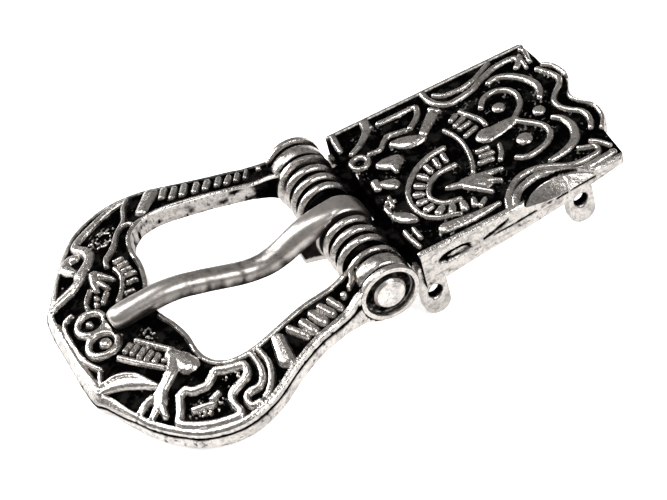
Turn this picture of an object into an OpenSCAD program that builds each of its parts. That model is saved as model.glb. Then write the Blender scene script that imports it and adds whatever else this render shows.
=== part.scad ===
// Belt buckle in the Borre style: a masked plate, a hinged loop and a tongue on one rivet.
// The plate frame has x along the belt, y across it and z up from the floor of the relief.
// The whole buckle is then turned so that it lies on its front eyes and on the loop's muzzle.

/* [Plate] */
// Width of the plate
plate_w = 26.7; // [26:0.1:27.4]
// Length of the plate to its rear corners
plate_l = 28.4; // [28:0.1:28.8]
// Height of the side rims over the relief floor
rim_h = 0.45; // [0.3:0.05:0.6]
// Height of the relief in the middle of the plate
relief_h = 1.05; // [0.8:0.05:1.2]
// Width of the side rims
rim_w = 0.7; // [0.5:0.05:0.9]

/* [Sewing eyes] */
// Width of an eye, and twice the radius of its round tip
eye_w = 3.5; // [3.2:0.1:3.8]
// Thickness of an eye
eye_t = 1.6; // [1.4:0.1:1.8]
// Radius of the hole in an eye
eye_hole_r = 0.95; // [0.8:0.05:1]
// Distance from the tip of an eye up to its hole
eye_hole_up = 3.6; // [3.4:0.1:3.8]

/* [Hinge] */
// Distance of the rivet's axis in front of the plate
hinge_out = 4.9; // [4.8:0.1:5]
// Height of the rivet's axis in the plate frame
hinge_z = -2; // [-2.1:0.1:-1.9]
// Radius of the rivet's shank
pin_r = 1.25; // [1.15:0.05:1.3]
// Running clearance between the rivet and each bore
bore_play = 0.06; // [0.03:0.01:0.09]
// Outer radius of the lugs
lug_r = 3.9; // [3.8:0.05:4]
// Distance from the middle to the outer face of a lug
lug_out = 14.5; // [14.4:0.1:14.6]

/* [Loop] */
// Slope of the loop against the plate, in degrees
loop_drop = 3.4; // [3:0.1:4]
// Thickness of the loop under its rim
loop_t = 2.6; // [2.4:0.1:2.8]
// Fall of the loop's top for each millimetre outwards
loop_fall = 0.27; // [0.25:0.01:0.29]
// Depth of the relief floor under the rim
loop_floor = 0.5; // [0.4:0.05:0.6]
// Height of the ridges over the rim
loop_ridge = 0.3; // [0.2:0.05:0.4]

/* [Tongue] */
// Radius of the bar at the root and at the tip
tongue_r = 1.6; // [1.5:0.05:1.65]
// Radius of the bar in its thin middle
tongue_thin_r = 1.4; // [1.3:0.05:1.5]
// Outer radius of the ring round the rivet
tongue_ring_r = 3.95; // [3.9:0.05:4]

/* [Hidden] */
$fn = 64;
eps = 0.05;

half_w = plate_w / 2;
bore_r = pin_r + bore_play;
hinge_x = -hinge_out;

// Sewing eyes: place along the plate, height of the tip and height of the root inside the plate
EYES = [[1.1, -10.35, -3], [21.8, -7.35, -1]];
eye_y = 12;

// Rest: the plane under the front eyes and the loop's muzzle
muzzle_foot = [-41.03, -4.55];
eye_foot = [EYES[0][0], EYES[0][1] + eye_w / 2];
foot_gap = norm(eye_foot - muzzle_foot);
rest_tilt = -atan((eye_foot[1] - muzzle_foot[1]) / (eye_foot[0] - muzzle_foot[0])) + asin(eye_w / 2 / foot_gap);
rest_lift = eye_w / 2 - (eye_foot[0] * sin(rest_tilt) + eye_foot[1] * cos(rest_tilt));
// Distance that brings the middle of the whole buckle over the origin
mid_shift = 5.55;

// Turns the plate frame into the frame of the surface that the buckle lies on
module lying() {
  translate([mid_shift, 0, rest_lift])
    rotate([0, -rest_tilt, 0])
      children();
}

// The loop's own frame: its z = 0 plane runs 1.3 over the plate's relief floor at x = 0
loop_z = 1.3;
module in_loop() {
  translate([0, 0, loop_z])
    rotate([0, -loop_drop, 0])
      children();
}

// Smooth curves and ridges

// Point at t along the span from b to c of a smooth curve through a, b, c and d
function spline(a, b, c, d, t) =
  0.5 * (2 * b + (c - a) * t + (2 * a - 5 * b + 4 * c - d) * t * t + (3 * b - a - 3 * c + d) * t * t * t);

// Smooth curve through the points of p, with n steps to a span
function smooth(p, n) =
  n < 2 || len(p) < 3 ? p : [
    for (i = [0 : len(p) - 2])
      for (k = [0 : n - 1])
        spline(p[max(i - 1, 0)], p[i], p[i + 1], p[min(i + 2, len(p) - 1)], k / n),
    p[len(p) - 1]
  ];

// Unit vector square to the path p at its point i
function across(p, i) =
  let (
    d = p[min(i + 1, len(p) - 1)] - p[max(i - 1, 0)],
    l = norm([d[0], d[1]])
  ) [-d[1] / l, d[0] / l];

// One side of the path p, moved by s
function side(p, s) = [for (i = [0 : len(p) - 1]) [p[i][0], p[i][1]] + s * across(p, i)];

// List p from its end to its start
function turned(p) = [for (i = [len(p) - 1 : -1 : 0]) p[i]];

// Point past the end of path p, at the tip of a ridge of width w
function tip(p, w) =
  let (n = len(p), d = p[n - 1] - p[n - 2])
    [p[n - 1][0], p[n - 1][1]] + 0.4 * w * [d[0], d[1]] / norm([d[0], d[1]]);

// Outline of a ridge of width w along the path p, with pointed ends
function ridge_outline(p, w) =
  concat(side(p, w / 2), [tip(p, w)], turned(side(p, -w / 2)), [tip(turned(p), w)]);

// Ridge of width w along p, from the height low to the height high
module ridge(p, w, low, high, steps = 2) {
  translate([0, 0, low])
    linear_extrude(high - low)
      polygon(ridge_outline(smooth(p, steps), w));
}

// Round boss with centre c and radius r
module boss(c, r, low, high) {
  translate([c[0], c[1], low])
    cylinder(r = r, h = high - low, $fn = 32);
}

// Ring with centre c, outer radius r and wall w
module eye_ring(c, r, w, low, high) {
  difference() {
    boss(c, r, low, high);
    boss(c, r - w, low - eps, high + eps);
  }
}

// Plate

// Height of the relief at a distance y from the middle
function dome(y) = rim_h + (relief_h - rim_h) * (1 - pow(min(abs(y) / half_w, 1), 4));

// Mean height of the relief along the path p
function dome_of(p) = dome(p[floor(len(p) / 2)][1]);

// Ridges of the plate: name, width and crest
PLATE_RIDGES = [
  ["far front edge", 0.7, [[0.9, 12.4], [0.6, 11], [0.5, 9.3]]],
  ["far front fork", 0.7, [[5.3, 12.6], [4.8, 11], [3.8, 9.8], [2.6, 8.7], [1.2, 7.9]]],
  ["hook", 0.6, [[6.5, 11.1], [9, 11], [11.1, 10.9], [11.6, 10], [10.8, 8.7], [9.3, 7.5]]],
  ["wave", 0.55, [[3.5, 6.3], [4.5, 6.3], [5.4, 7.1], [6.4, 7.8], [7.4, 7.7], [8.6, 7.4]]],
  ["leaf", 1.5, [[6.9, 5.8], [8.2, 5.1], [9.6, 4.7]]],
  ["leaf tail", 0.9, [[10.2, 5.8], [12.7, 8.1]]],
  ["front tick", 0.5, [[1.4, 1.4], [1.1, -0.7]]],
  ["front bead", 0.5, [[1.3, -2.6], [1, -4.1]]],
  ["front drop", 1.2, [[0.8, -5.7], [1.5, -6.9]]],
  ["near front edge", 0.5, [[0.4, -8.8], [0.5, -10.3], [0.8, -11.8]]],
  ["near drop", 0.7, [[5, -11.1], [8, -11.4], [12, -11.3]]],
  ["horseshoe", 0.6, [[10.9, 1.4], [9.3, 1.3], [7.6, 0.7], [6.2, -0.1], [4.7, -1.5], [3.7, -3.2],
    [3.2, -5.1], [3.3, -6.7], [3.9, -8.1], [5.2, -9.3], [7.4, -10.1]]],
  ["inner horseshoe", 0.5, [[10.7, -2.2], [8.6, -2.2], [6.9, -3.1], [5.8, -4.5], [5.6, -5.8],
    [6.1, -6.9], [7.1, -7.7], [8.5, -7.9]]],
  ["lip", 0.5, [[12.5, 4.2], [13.1, 2.5], [13.3, 0.7], [13.1, -1.2], [12.6, -3.2], [11.9, -4.8]]],
  ["long finger", 0.9, [[9.9, -5.6], [12.5, -5.9], [15, -6.4]]],
  ["middle finger", 0.8, [[11.6, -6.3], [14, -8]]],
  ["short finger", 0.9, [[10.2, -6.2], [11.1, -7.5], [12.2, -9]]],
  ["arm tip", 0.6, [[8.1, -5.3], [10, -5.9]]],
  ["far strand", 0.7, [[13.6, 12.5], [13.6, 11], [14.1, 9.6], [15.2, 8.5], [16.8, 8.5], [18.8, 8.9],
    [20.3, 9.7], [21.8, 10.5], [23.2, 11.1], [24.8, 11.3], [25.8, 11.1], [26.1, 10.2], [25.5, 9.2]]],
  ["far outer strand", 0.5, [[14.6, 11.4], [15.6, 10.4], [17.2, 10.1], [19, 10.3], [20.6, 11], [23, 12.4]]],
  ["far corner", 0.5, [[27.6, 12.2], [27.7, 11.3], [27.4, 10], [27.3, 9]]],
  ["near outer strand", 0.7, [[13.9, -11.8], [15, -10.9], [16.4, -10.3], [17.8, -10.1], [19.2, -10.3],
    [20.9, -11.3], [22.8, -12], [25, -12.1], [27.8, -11.9]]],
  ["near strand", 0.5, [[14, -10.4], [15.2, -9.4], [16.5, -9], [18, -8.9], [19.4, -9.3], [20.8, -10],
    [22.2, -10.8], [24, -11.1], [25.7, -10.8], [26.1, -10.2], [25.4, -9.4]]],
  ["near corner", 0.5, [[26.3, -8.7], [27, -9.6], [27.7, -10.8]]],
  ["far brow", 0.75, [[21.1, 8.6], [22.2, 9], [23.4, 8.6], [24.5, 7.6], [25.4, 6.2], [25.8, 4.4], [25.1, 2.3]]],
  ["near brow", 0.75, [[24.6, -2.3], [25.5, -3.5], [25.6, -5.2], [25, -7], [23.6, -8.1], [20.6, -8.7]]],
  ["nose", 1.5, [[16.2, 0.1], [17.6, 0.2]]],
  ["nose bridge", 1.1, [[17.2, 0.2], [20.3, 0.3]]],
  ["far cheek", 0.55, [[15.7, 6], [16.6, 4.4], [17.1, 3.2], [17.2, 2.1]]],
  ["near cheek", 0.55, [[16.8, -2.4], [16.3, -3.9], [15.7, -4.8]]],
  ["crown", 0.6, [[28.6, 5.8], [28.9, 4.2], [28.2, 2.7], [26.9, 1.6], [26, 0], [26.9, -1.8], [28.1, -3],
    [28.6, -4.6], [27.9, -6.4]]],
  ["crown edge", 0.5, [[28.5, 7.3], [29.3, 6.3], [29.7, 4.6], [29.3, 2.7], [28.2, 0.6], [28.2, -0.6],
    [29.3, -2.7], [29.7, -4.6], [29.3, -6.3], [28.5, -7.3]]]
];

// Short bars of the plate: width, start and end
PLATE_BARS = [
  [0.6, [10.1, 0.1], [10.1, -0.9]], [0.6, [8.7, -0.2], [9, -1.1]], [0.6, [7.3, -0.7], [7.6, -1.2]],
  [0.7, [6, -1.8], [6.6, -2.3]], [0.7, [5, -3], [5.5, -3.3]], [0.7, [4.4, -4.2], [4.9, -4.5]],
  [0.7, [4.2, -5.6], [4.7, -5.7]], [0.7, [4.5, -7], [4.9, -6.9]], [0.7, [5.6, -8.4], [6, -8]],
  [0.8, [6.8, -9.2], [7.2, -8.5]], [0.8, [8.4, -9.5], [8.5, -8.7]],
  [0.55, [14, 5.4], [15, 5.9]], [0.55, [14, 4.2], [15.5, 4.9]], [0.5, [14.2, 3.2], [15.7, 3.6]],
  [0.5, [14.2, 1.6], [15.8, 2.2]], [0.5, [14, -2.9], [15.4, -3.1]], [0.5, [13.4, -3.9], [14.9, -4.1]]
];

// Round bosses of the plate: radius and centre
PLATE_BOSSES = [
  [1.2, [4.8, 3]],
  [0.85, [19.9, 3.8]],
  [1, [19.8, -3.4]],
  [0.85, [23.7, 0]],
  [0.8, [2.4, -0.4]]
];

// Rings of the plate: outer radius, wall and centre
PLATE_RINGS = [
  [1.4, 0.6, [1.2, 5.7]],
  [2.9, 0.6, [20, 3.9]],
  [2.95, 0.6, [20, -3.4]]
];

// Outline of the plate seen from above, with the two lobes of the crown at the rear
function plate_half() = [
  [0, 0], [0, half_w], [plate_l - 1, half_w], [plate_l - 0.3, half_w - 0.3], [plate_l, half_w - 1],
  [plate_l, 7.8], [plate_l + 0.8, 7.1], [plate_l + 1.4, 6], [plate_l + 1.6, 4.5],
  [plate_l + 1.2, 2.9], [plate_l + 0.4, 1.7], [plate_l - 0.1, 0.6]
];

// Underside of the plate: a wedge that thins towards the rear
PLATE_SIDE = [
  [-1, 0], [-1, -5.15], [0, -5.05], [8, -3.95], [14, -3.3], [20, -2.45], [23.5, -1.5],
  [27, -0.8], [31, -0.75], [31, 0]
];

module plate_slab() {
  half = plate_half();
  intersection() {
    translate([0, 0, -7])
      linear_extrude(7)
        polygon(concat(half, [for (p = turned(half)) if (p[1] > 0) [p[0], -p[1]]]));
    rotate([90, 0, 0])
      linear_extrude(plate_w + 2, center = true)
        polygon(PLATE_SIDE);
  }
}

// Round bay with a low shelf in the near side, and a round-ended slot in each side wall
bay_x = 19.1;
bay_r = 4.95;
bay_out = 2.45;
shelf_z = -0.5;
module side_cuts() {
  translate([bay_x, -half_w - bay_out, shelf_z])
    cylinder(r = bay_r, h = 4);
  for (s = [-1, 1]) {
    for (x = [3.1, 6])
      translate([x, s * (half_w - 0.5), -1.9 + (x - 3) * 0.05])
        rotate([-90 * s, 0, 0])
          cylinder(r = 0.8, h = 2, $fn = 24);
    translate([3.1, s * half_w - 0.5, -2.68])
      cube([2.9, 1, 1.6]);
  }
}

module plate_relief() {
  for (row = PLATE_RIDGES)
    ridge(row[2], row[1], -0.6, dome_of(row[2]));
  for (row = PLATE_BARS)
    ridge([row[1], row[2]], row[0], -0.6, dome(row[1][1]) - 0.12);
  for (row = PLATE_BOSSES)
    boss(row[1], row[0], -0.6, dome(row[1][1]) + 0.08);
  for (row = PLATE_RINGS)
    eye_ring(row[2], row[0], row[1], -0.6, dome(row[2][1]) - 0.07);
  for (s = [-1, 1])
    for (run = s > 0 ? [[0, plate_l - 1]] : [[0, 14.6], [23.6, plate_l - 1]])
      translate([run[0], s * (half_w - rim_w / 2) - rim_w / 2, -0.6])
        cube([run[1] - run[0], rim_w, 0.6 + rim_h]);
}

module sewing_eye(x, tip_z, root_z) {
  r = eye_w / 2;
  rotate([90, 0, 0])
    difference() {
      union() {
        translate([x, tip_z + r, 0])
          cylinder(r = r, h = eye_t, center = true);
        translate([x - r, tip_z + r, -eye_t / 2])
          cube([eye_w, root_z - tip_z - r, eye_t]);
      }
      translate([x, tip_z + eye_hole_up, 0])
        cylinder(r = eye_hole_r, h = eye_t + 2, center = true);
    }
}

// Knuckles, a core with three round rings: side, inner end, outer end, places of the rings
KNUCKLES = [[-1, 2.4, 9, [3.2, 5.2, 7.2]], [1, 3.3, 9.3, [4.2, 6.2, 8.2]]];
core_r = 2.9;
ring_mid_r = 3;
ring_wire_r = 0.65;

module knuckles() {
  difference() {
    union() {
      for (k = KNUCKLES) {
        width = k[2] - k[1];
        translate([hinge_x, k[0] * (k[1] + k[2]) / 2, hinge_z]) {
          rotate([90, 0, 0])
            cylinder(r = core_r, h = width, center = true);
          translate([0, -width / 2, -2.3])
            cube([hinge_out + 0.5, width, 3.2]);
        }
        for (y = k[3])
          translate([hinge_x, k[0] * y, hinge_z])
            rotate([90, 0, 0])
              rotate_extrude()
                translate([ring_mid_r, 0])
                  circle(r = ring_wire_r, $fn = 24);
      }
    }
    translate([hinge_x, 0, hinge_z])
      rotate([90, 0, 0])
        cylinder(r = bore_r, h = 2 * half_w, center = true);
  }
}

module plate() {
  color("silver")
    lying() {
      difference() {
        union() {
          plate_slab();
          plate_relief();
        }
        side_cuts();
      }
      for (e = EYES)
        for (s = [-1, 1])
          translate([0, s * eye_y, 0])
            sewing_eye(e[0], e[1], e[2]);
      knuckles();
    }
}

// Loop

// Half outline of the loop, from the lug round to the muzzle
LOOP_OUTER = [
  [-6, 14.4], [-8.5, 15], [-10, 15.7], [-12.5, 16.4], [-15, 17.2], [-17.5, 18.3], [-20, 19.6],
  [-22, 20.8], [-24, 21.7], [-27, 22.4], [-30, 22.1], [-33, 20.8], [-35, 18.8], [-37, 16],
  [-39, 12.6], [-40.3, 9.8], [-41.3, 8.2], [-41.6, 5], [-41.6, 0]
];
LOOP_INNER = [
  [-6, 9.8], [-8.9, 10.5], [-12.5, 11.4], [-15, 12], [-17.5, 12.8], [-20, 13.6], [-22.5, 14.3],
  [-25, 14.5], [-26.6, 13.8], [-27.8, 12.4], [-28.3, 10.4], [-28.2, 8], [-28.6, 5], [-29.4, 2.6], [-29.8, 0]
];
loop_mid_x = -24;
loop_flat_r = 14.5;
loop_crest = 0.45;

// Height of the rim at a point of the loop's frame
function loop_top(x, y) = loop_crest - loop_fall * max(0, norm([x - loop_mid_x, y]) - loop_flat_r);

// Everything under the loop's top surface, which is moved by h
module under_top(h, far = 32) {
  translate([loop_mid_x, 0, 0])
    rotate_extrude($fn = 96)
      polygon([
        [0, -12], [far, -12], [far, loop_crest + h - loop_fall * (far - loop_flat_r)],
        [loop_flat_r, loop_crest + h], [0, loop_crest + h]
      ]);
}

// Closed outline from its half
function both_sides(half) = concat(half, [for (p = turned(half)) if (p[1] > 0) [p[0], -p[1]]]);

module loop_band() {
  outer = smooth(LOOP_OUTER, 2);
  inner = smooth(LOOP_INNER, 2);
  difference() {
    intersection() {
      translate([0, 0, -9])
        linear_extrude(10)
          polygon(both_sides(outer));
      under_top(-loop_floor);
    }
    translate([0, 0, -10])
      linear_extrude(12)
        polygon(both_sides(inner));
  }
}

// Outer and inner rims along the band
loop_rim_w = 0.8;
loop_inner_rim_w = 0.5;
module loop_rims() {
  outer = both_sides(smooth(LOOP_OUTER, 2));
  inner = both_sides(smooth(LOOP_INNER, 2));
  intersection() {
    translate([0, 0, -6])
      linear_extrude(8)
        union() {
          polygon(concat(outer, turned(side(outer, loop_rim_w))));
          polygon(concat(inner, turned(side(inner, -loop_inner_rim_w))));
        }
    under_top(0);
  }
}

// Ridges of the loop: name, width and crest
LOOP_RIDGES = [
  ["lip", 0.5, [[-39.3, 6.4], [-40.2, 4.8], [-40.5, 2.5], [-40.5, -1], [-40.2, -3.2], [-39.3, -5.1]]],
  ["far strap", 0.9, [[-40.6, 8.4], [-38.4, 9], [-36.6, 9.6], [-35.2, 10.9], [-33.8, 12.3], [-33.2, 14],
    [-33.3, 15.6], [-34, 16.9], [-33.2, 18.1], [-31, 19.4], [-28.6, 20.4], [-26, 20.9]]],
  ["far panel", 0.6, [[-25.3, 20.8], [-26.3, 19.3], [-27, 17.2], [-27.2, 16], [-28.7, 14.6], [-30.1, 12.5],
    [-31.6, 10.9], [-32, 10.1]]],
  ["far comma", 1, [[-34.9, 15], [-35.6, 15.2], [-36.4, 14.8], [-36.4, 13.8], [-35.8, 12.3]]],
  ["far neck", 0.6, [[-31.4, 8.8], [-31.2, 7.5], [-31.7, 5.9], [-32.4, 4.7], [-33.3, 3.4]]],
  ["far finger", 0.9, [[-34, 9.4], [-34.3, 8], [-33.6, 6.7]]],
  ["far thumb", 0.6, [[-33.9, 8.4], [-32.6, 7.4]]],
  ["far arm", 0.4, [[-35.4, 7.2], [-36.3, 6], [-36.9, 4.8]]],
  ["far arm inner", 0.4, [[-33.5, 6], [-34.7, 4.6]]],
  ["near band outer", 0.45, [[-36.7, -5.4], [-34.6, -8.2], [-32.9, -10.4]]],
  ["near band inner", 0.6, [[-33.8, -4.3], [-32.3, -6.6], [-30.8, -8.6]]],
  ["near leaf", 1, [[-40.5, -7.9], [-38.9, -8.1], [-37.3, -8.7], [-36, -9.8], [-34.6, -11.9]]],
  ["near horn", 0.5, [[-39.6, -5.7], [-39.9, -7.2], [-38.3, -7.5], [-36.9, -8.2], [-35.6, -9.6]]],
  ["knob", 1.6, [[-30.6, -9.4], [-30.1, -11], [-29.9, -12.6]]],
  ["limb", 0.9, [[-30.9, -10.2], [-32.1, -11.6], [-33.8, -12.8], [-35.2, -13.6]]],
  ["palm", 1.5, [[-34.6, -13.6], [-35, -14.4]]],
  ["first claw", 0.5, [[-35.4, -13.3], [-36.6, -13.4], [-37.8, -13.8]]],
  ["second claw", 0.5, [[-35.2, -14.2], [-36, -14.7], [-36.9, -15.3]]],
  ["third claw", 0.6, [[-34.8, -14.4], [-35.2, -15.3], [-35.5, -16]]],
  ["near panel", 0.6, [[-33.2, -15.8], [-32.1, -14.8], [-31, -15.3], [-29.8, -15.8], [-28.7, -15.2],
    [-27.7, -14.7], [-26.3, -15.3], [-24.9, -16], [-25.4, -17.2], [-26.8, -17.9], [-27.8, -18.7],
    [-28, -20]]],
  ["near panel foot", 0.6, [[-28.6, -21.2], [-30.2, -20.9], [-32.2, -20.1], [-33.8, -18.9], [-34.2, -17.7],
    [-33.8, -16.9]]],
  ["near hook", 0.5, [[-23.3, -15.4], [-23.4, -17.2], [-24, -18.9], [-25.2, -19.5], [-26.2, -19.8],
    [-26.3, -20.6]]],
  ["near hook outer", 0.55, [[-22.2, -15.2], [-22, -17], [-22.6, -18.8], [-23.7, -20.2], [-25, -21], [-26.2, -20.9]]]
];

// Bars of the loop: width, start and end
LOOP_BARS = [
  [0.65, [-35.5, -5], [-34.7, -4.4]], [0.65, [-34.9, -5.8], [-34.1, -5.2]], [0.65, [-34.4, -6.8], [-33.5, -6.2]],
  [0.65, [-33.7, -7.8], [-32.9, -7.2]], [0.65, [-33.2, -8.7], [-32.6, -8.3]],
  [0.7, [-30.8, 9.7], [-30, 9.8]], [0.7, [-30.6, 7.7], [-29.7, 7.8]], [0.7, [-30.7, 6.5], [-29.7, 6.5]],
  [0.7, [-31, 5.3], [-30, 5.3]], [0.7, [-31.6, 3.8], [-30.9, 3.9]]
];

// Bars along both arms: width, start and end on the far side, mirrored on the near one
ARM_BARS = [
  [1.5, [-24.3, 17.1], [-22.3, 19.2]], [0.8, [-21.5, 17.3], [-20.9, 18.4]],
  [0.7, [-20.3, 16.2], [-19.7, 17.5]], [0.7, [-18.9, 15.6], [-18.3, 17]],
  [0.7, [-17.4, 14.9], [-16.9, 16]], [0.65, [-15.9, 14.5], [-15.5, 15.6]],
  [0.6, [-14.6, 14.1], [-14.2, 15.2]], [0.55, [-13.3, 13.6], [-13, 14.7]],
  [0.5, [-12.1, 13.3], [-11.8, 14.4]], [0.45, [-10.9, 13.1], [-10.7, 14.1]]
];

mask_eye_x = -37.4;
mask_eye_y = 2.1;
tongue_seat_w = 3.6;

module loop_relief() {
  intersection() {
    union() {
      for (row = LOOP_RIDGES)
        ridge(row[2], row[1], -3.2, 2);
      for (row = LOOP_BARS)
        ridge([row[1], row[2]], row[0], -3.2, 2);
      for (s = [-1, 1])
        for (row = ARM_BARS)
          ridge([[row[1][0], s * row[1][1]], [row[2][0], s * row[2][1]]], row[0], -3.2, 2);
    }
    under_top(loop_ridge);
    translate([0, 0, -9])
      linear_extrude(12)
        polygon(both_sides(smooth(LOOP_OUTER, 2)));
  }
}

// Round eyes of the mask, on a low cheek
module mask_eyes() {
  for (s = [-1, 1]) {
    eye_ring([mask_eye_x, s * mask_eye_y], 2.25, 0.55, -2.4, 1.1);
    boss([mask_eye_x + 0.1, s * mask_eye_y], 0.6, -2.4, 0.85);
    boss([mask_eye_x, s * mask_eye_y], 2.25, -2.4, 0.3);
  }
}

// Lugs: two flanges with a round pad between them
lug_in = 9.6;
LUG_BANDS = [[lug_in, 10.4, 3.8], [10.4, 10.9, 3.3], [10.9, 13, 3.75], [13, 13.6, 3.4], [13.6, lug_out, lug_r]];

module lugs() {
  for (s = [-1, 1])
    translate([hinge_x, 0, hinge_z])
      rotate([-90 * s, 0, 0])
        for (band = LUG_BANDS)
          translate([0, 0, band[0]])
            cylinder(r = band[2], h = band[1] - band[0]);
}

// Recess for the rivet's head in the outer face of each lug
recess_r = 3.1;
recess_depth = 0.8;
module head_recesses() {
  for (s = [-1, 1])
    translate([hinge_x, 0, hinge_z])
      rotate([-90 * s, 0, 0])
        translate([0, 0, lug_out - recess_depth])
          cylinder(r = recess_r, h = 2);
}

// Foot of each arm where it thickens into its lug
module arm_feet() {
  for (s = [-1, 1])
    translate([0, s * 12.4, 0])
      rotate([90, 0, 0])
        linear_extrude(3.8, center = true)
          polygon([[-13, -2.9], [-7, -1.4], [-6.1, -5.2]]);
}

module loop() {
  color("gainsboro")
    lying()
      difference() {
        union() {
          difference() {
            union() {
              in_loop()
                difference() {
                  union() {
                    loop_band();
                    loop_rims();
                    loop_relief();
                    mask_eyes();
                  }
                  under_top(-loop_t);
                }
              arm_feet();
            }
            for (s = [-1, 1])
              translate([hinge_x, s * 9, hinge_z])
                rotate([90, 0, 0])
                  cylinder(r = lug_r + 0.4, h = 1.2, center = true);
          }
          lugs();
        }
        translate([hinge_x, 0, hinge_z])
          rotate([90, 0, 0])
            cylinder(r = bore_r, h = 40, center = true);
        head_recesses();
        tongue_seat();
      }
}

// Seat for the tongue's tip across the bar of the loop
seat_z = -1.25;
module tongue_seat() {
  translate([-35.5, -tongue_seat_w / 2, seat_z])
    cube([6.5, tongue_seat_w, 4]);
}

// Rivet
head_r = 2.1;
head_h = 1.1;
module hinge_pin() {
  seat = lug_out - recess_depth;
  color("dimgray")
    lying()
      translate([hinge_x, 0, hinge_z])
        rotate([90, 0, 0]) {
          cylinder(r = pin_r, h = 2 * seat, center = true);
          for (s = [-1, 1])
            rotate([90 - 90 * s, 0, 0])
              translate([0, 0, seat])
                rotate_extrude()
                  polygon([[0, 0], [head_r, 0], [head_r, 0.5], [head_r - 0.3, 0.9], [1.2, head_h], [0, head_h]]);
        }
}

// Tongue

// The ring's half width and how far it lies to the near side, and the bar's radius at its root
ring_half_w = 1.8;
ring_side = -0.25;
tongue_root_r = 1.75;

// Centre line of the bar, x, side and height, and its radius
TONGUE = [
  [hinge_x - 1, ring_side, 0.25, tongue_root_r - 0.05], [-7.5, ring_side, 0.2, tongue_root_r],
  [-9.2, ring_side, -0.05, tongue_root_r], [-11, -0.22, -0.75, 1.7],
  [-12.8, -0.18, -1.6, tongue_r], [-14.6, -0.13, -2.2, 1.5], [-16.4, -0.08, -2.2, tongue_thin_r],
  [-18.6, -0.03, -1.7, tongue_thin_r], [-21, 0, -0.9, tongue_thin_r], [-23.5, 0, -0.1, tongue_thin_r],
  [-26, 0, 0.6, 1.45], [-28.5, 0, 0.9, 1.5], [-31, 0, 0.75, 1.55], [-33.4, 0, 0.55, tongue_r],
  [-34.9, 0, 0.45, 1.45], [-35.3, 0, 0.42, 1]
];
tongue_sides = 20;

// Direction of the bar at section i
function run(p, i) =
  let (d = p[min(i + 1, len(p) - 1)] - p[max(i - 1, 0)], l = norm([d[0], d[2]])) [d[0] / l, d[2] / l];

// Points of the round section i, square to the bar
function section(p, i) =
  let (d = run(p, i), r = p[i][3])
    [for (k = [0 : tongue_sides - 1])
      let (a = 360 * k / tongue_sides)
        [p[i][0] - d[1] * r * cos(a), p[i][1] + r * sin(a), p[i][2] + d[0] * r * cos(a)]];

module tongue_bar() {
  p = smooth(TONGUE, 2);
  n = len(p);
  m = tongue_sides;
  polyhedron(
    points = [for (i = [0 : n - 1]) each section(p, i)],
    faces = concat(
      [[for (k = [m - 1 : -1 : 0]) k]],
      [for (i = [0 : n - 2])
        for (k = [0 : m - 1])
          [i * m + (k + 1) % m, (i + 1) * m + (k + 1) % m, (i + 1) * m + k, i * m + k]],
      [[for (k = [0 : m - 1]) (n - 1) * m + k]]
    )
  );
}

// Heel of the tongue under its ring
module tongue_heel() {
  translate([0, ring_side, 0])
    rotate([90, 0, 0])
      linear_extrude(2.6, center = true)
        polygon([[-8.6, -0.6], [-10.6, -3.2], [-10, -3.9], [-6.8, -5.1], [-5.8, -3.6]]);
}

module tongue() {
  color("darkgray")
    lying()
      difference() {
        union() {
          translate([hinge_x, ring_side, hinge_z])
            rotate([90, 0, 0])
              cylinder(r = tongue_ring_r, h = 2 * ring_half_w, center = true);
          tongue_bar();
          tongue_heel();
        }
        translate([hinge_x, 0, hinge_z])
          rotate([90, 0, 0])
            cylinder(r = bore_r, h = 3 * ring_half_w, center = true);
      }
}

plate();
loop();
hinge_pin();
tongue();
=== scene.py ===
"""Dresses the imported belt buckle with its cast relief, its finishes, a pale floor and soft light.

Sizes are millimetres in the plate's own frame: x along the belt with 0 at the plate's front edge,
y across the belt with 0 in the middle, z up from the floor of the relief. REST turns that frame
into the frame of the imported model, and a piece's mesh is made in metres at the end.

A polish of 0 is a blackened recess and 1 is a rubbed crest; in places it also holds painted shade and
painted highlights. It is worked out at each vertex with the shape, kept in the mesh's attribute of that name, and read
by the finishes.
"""
from __future__ import annotations

import logging
import math
from dataclasses import dataclass
from enum import Enum
from typing import Callable, NamedTuple

import bpy
import numpy as np
from mathutils import Matrix, Vector

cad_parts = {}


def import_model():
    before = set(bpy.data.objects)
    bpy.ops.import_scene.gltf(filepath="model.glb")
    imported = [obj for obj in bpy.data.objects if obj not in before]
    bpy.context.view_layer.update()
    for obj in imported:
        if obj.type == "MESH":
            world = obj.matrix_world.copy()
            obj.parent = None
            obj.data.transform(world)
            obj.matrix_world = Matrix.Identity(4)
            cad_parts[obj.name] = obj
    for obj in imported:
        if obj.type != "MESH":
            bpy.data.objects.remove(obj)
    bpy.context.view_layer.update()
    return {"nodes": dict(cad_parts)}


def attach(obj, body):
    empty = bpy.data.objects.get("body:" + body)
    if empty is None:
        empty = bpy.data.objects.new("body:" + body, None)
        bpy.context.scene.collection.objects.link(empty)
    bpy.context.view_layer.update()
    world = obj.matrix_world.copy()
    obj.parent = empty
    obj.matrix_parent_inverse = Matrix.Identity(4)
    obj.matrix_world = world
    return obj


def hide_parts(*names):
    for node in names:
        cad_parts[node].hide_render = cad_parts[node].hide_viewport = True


MM = 0.001
LOG = logging.getLogger("buckle")


class Body(Enum):
    """The rigid bodies that the pieces ride on."""

    PLATE = "plate"
    LOOP = "loop"
    TONGUE = "tongue"


class Slot(Enum):
    """The material slots of the record."""

    CAST = "cast_silver"
    RIVET = "rivet"
    TONGUE = "tongue_silver"


class Side(Enum):
    """The two sides of the belt, as the photograph's camera sees them, with the sign of their y."""

    NEAR = -1
    FAR = 1

    @property
    def word(self) -> str:
        """The side's word in the name of a piece."""
        return self.name.lower()


class EyeRow(Enum):
    """The two rows of sewing eyes: x of their middle and z of their tip."""

    FRONT = (1.1, -10.35)
    REAR = (21.8, -7.35)


# ---------------------------------------------------------------- frames and curves


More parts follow.
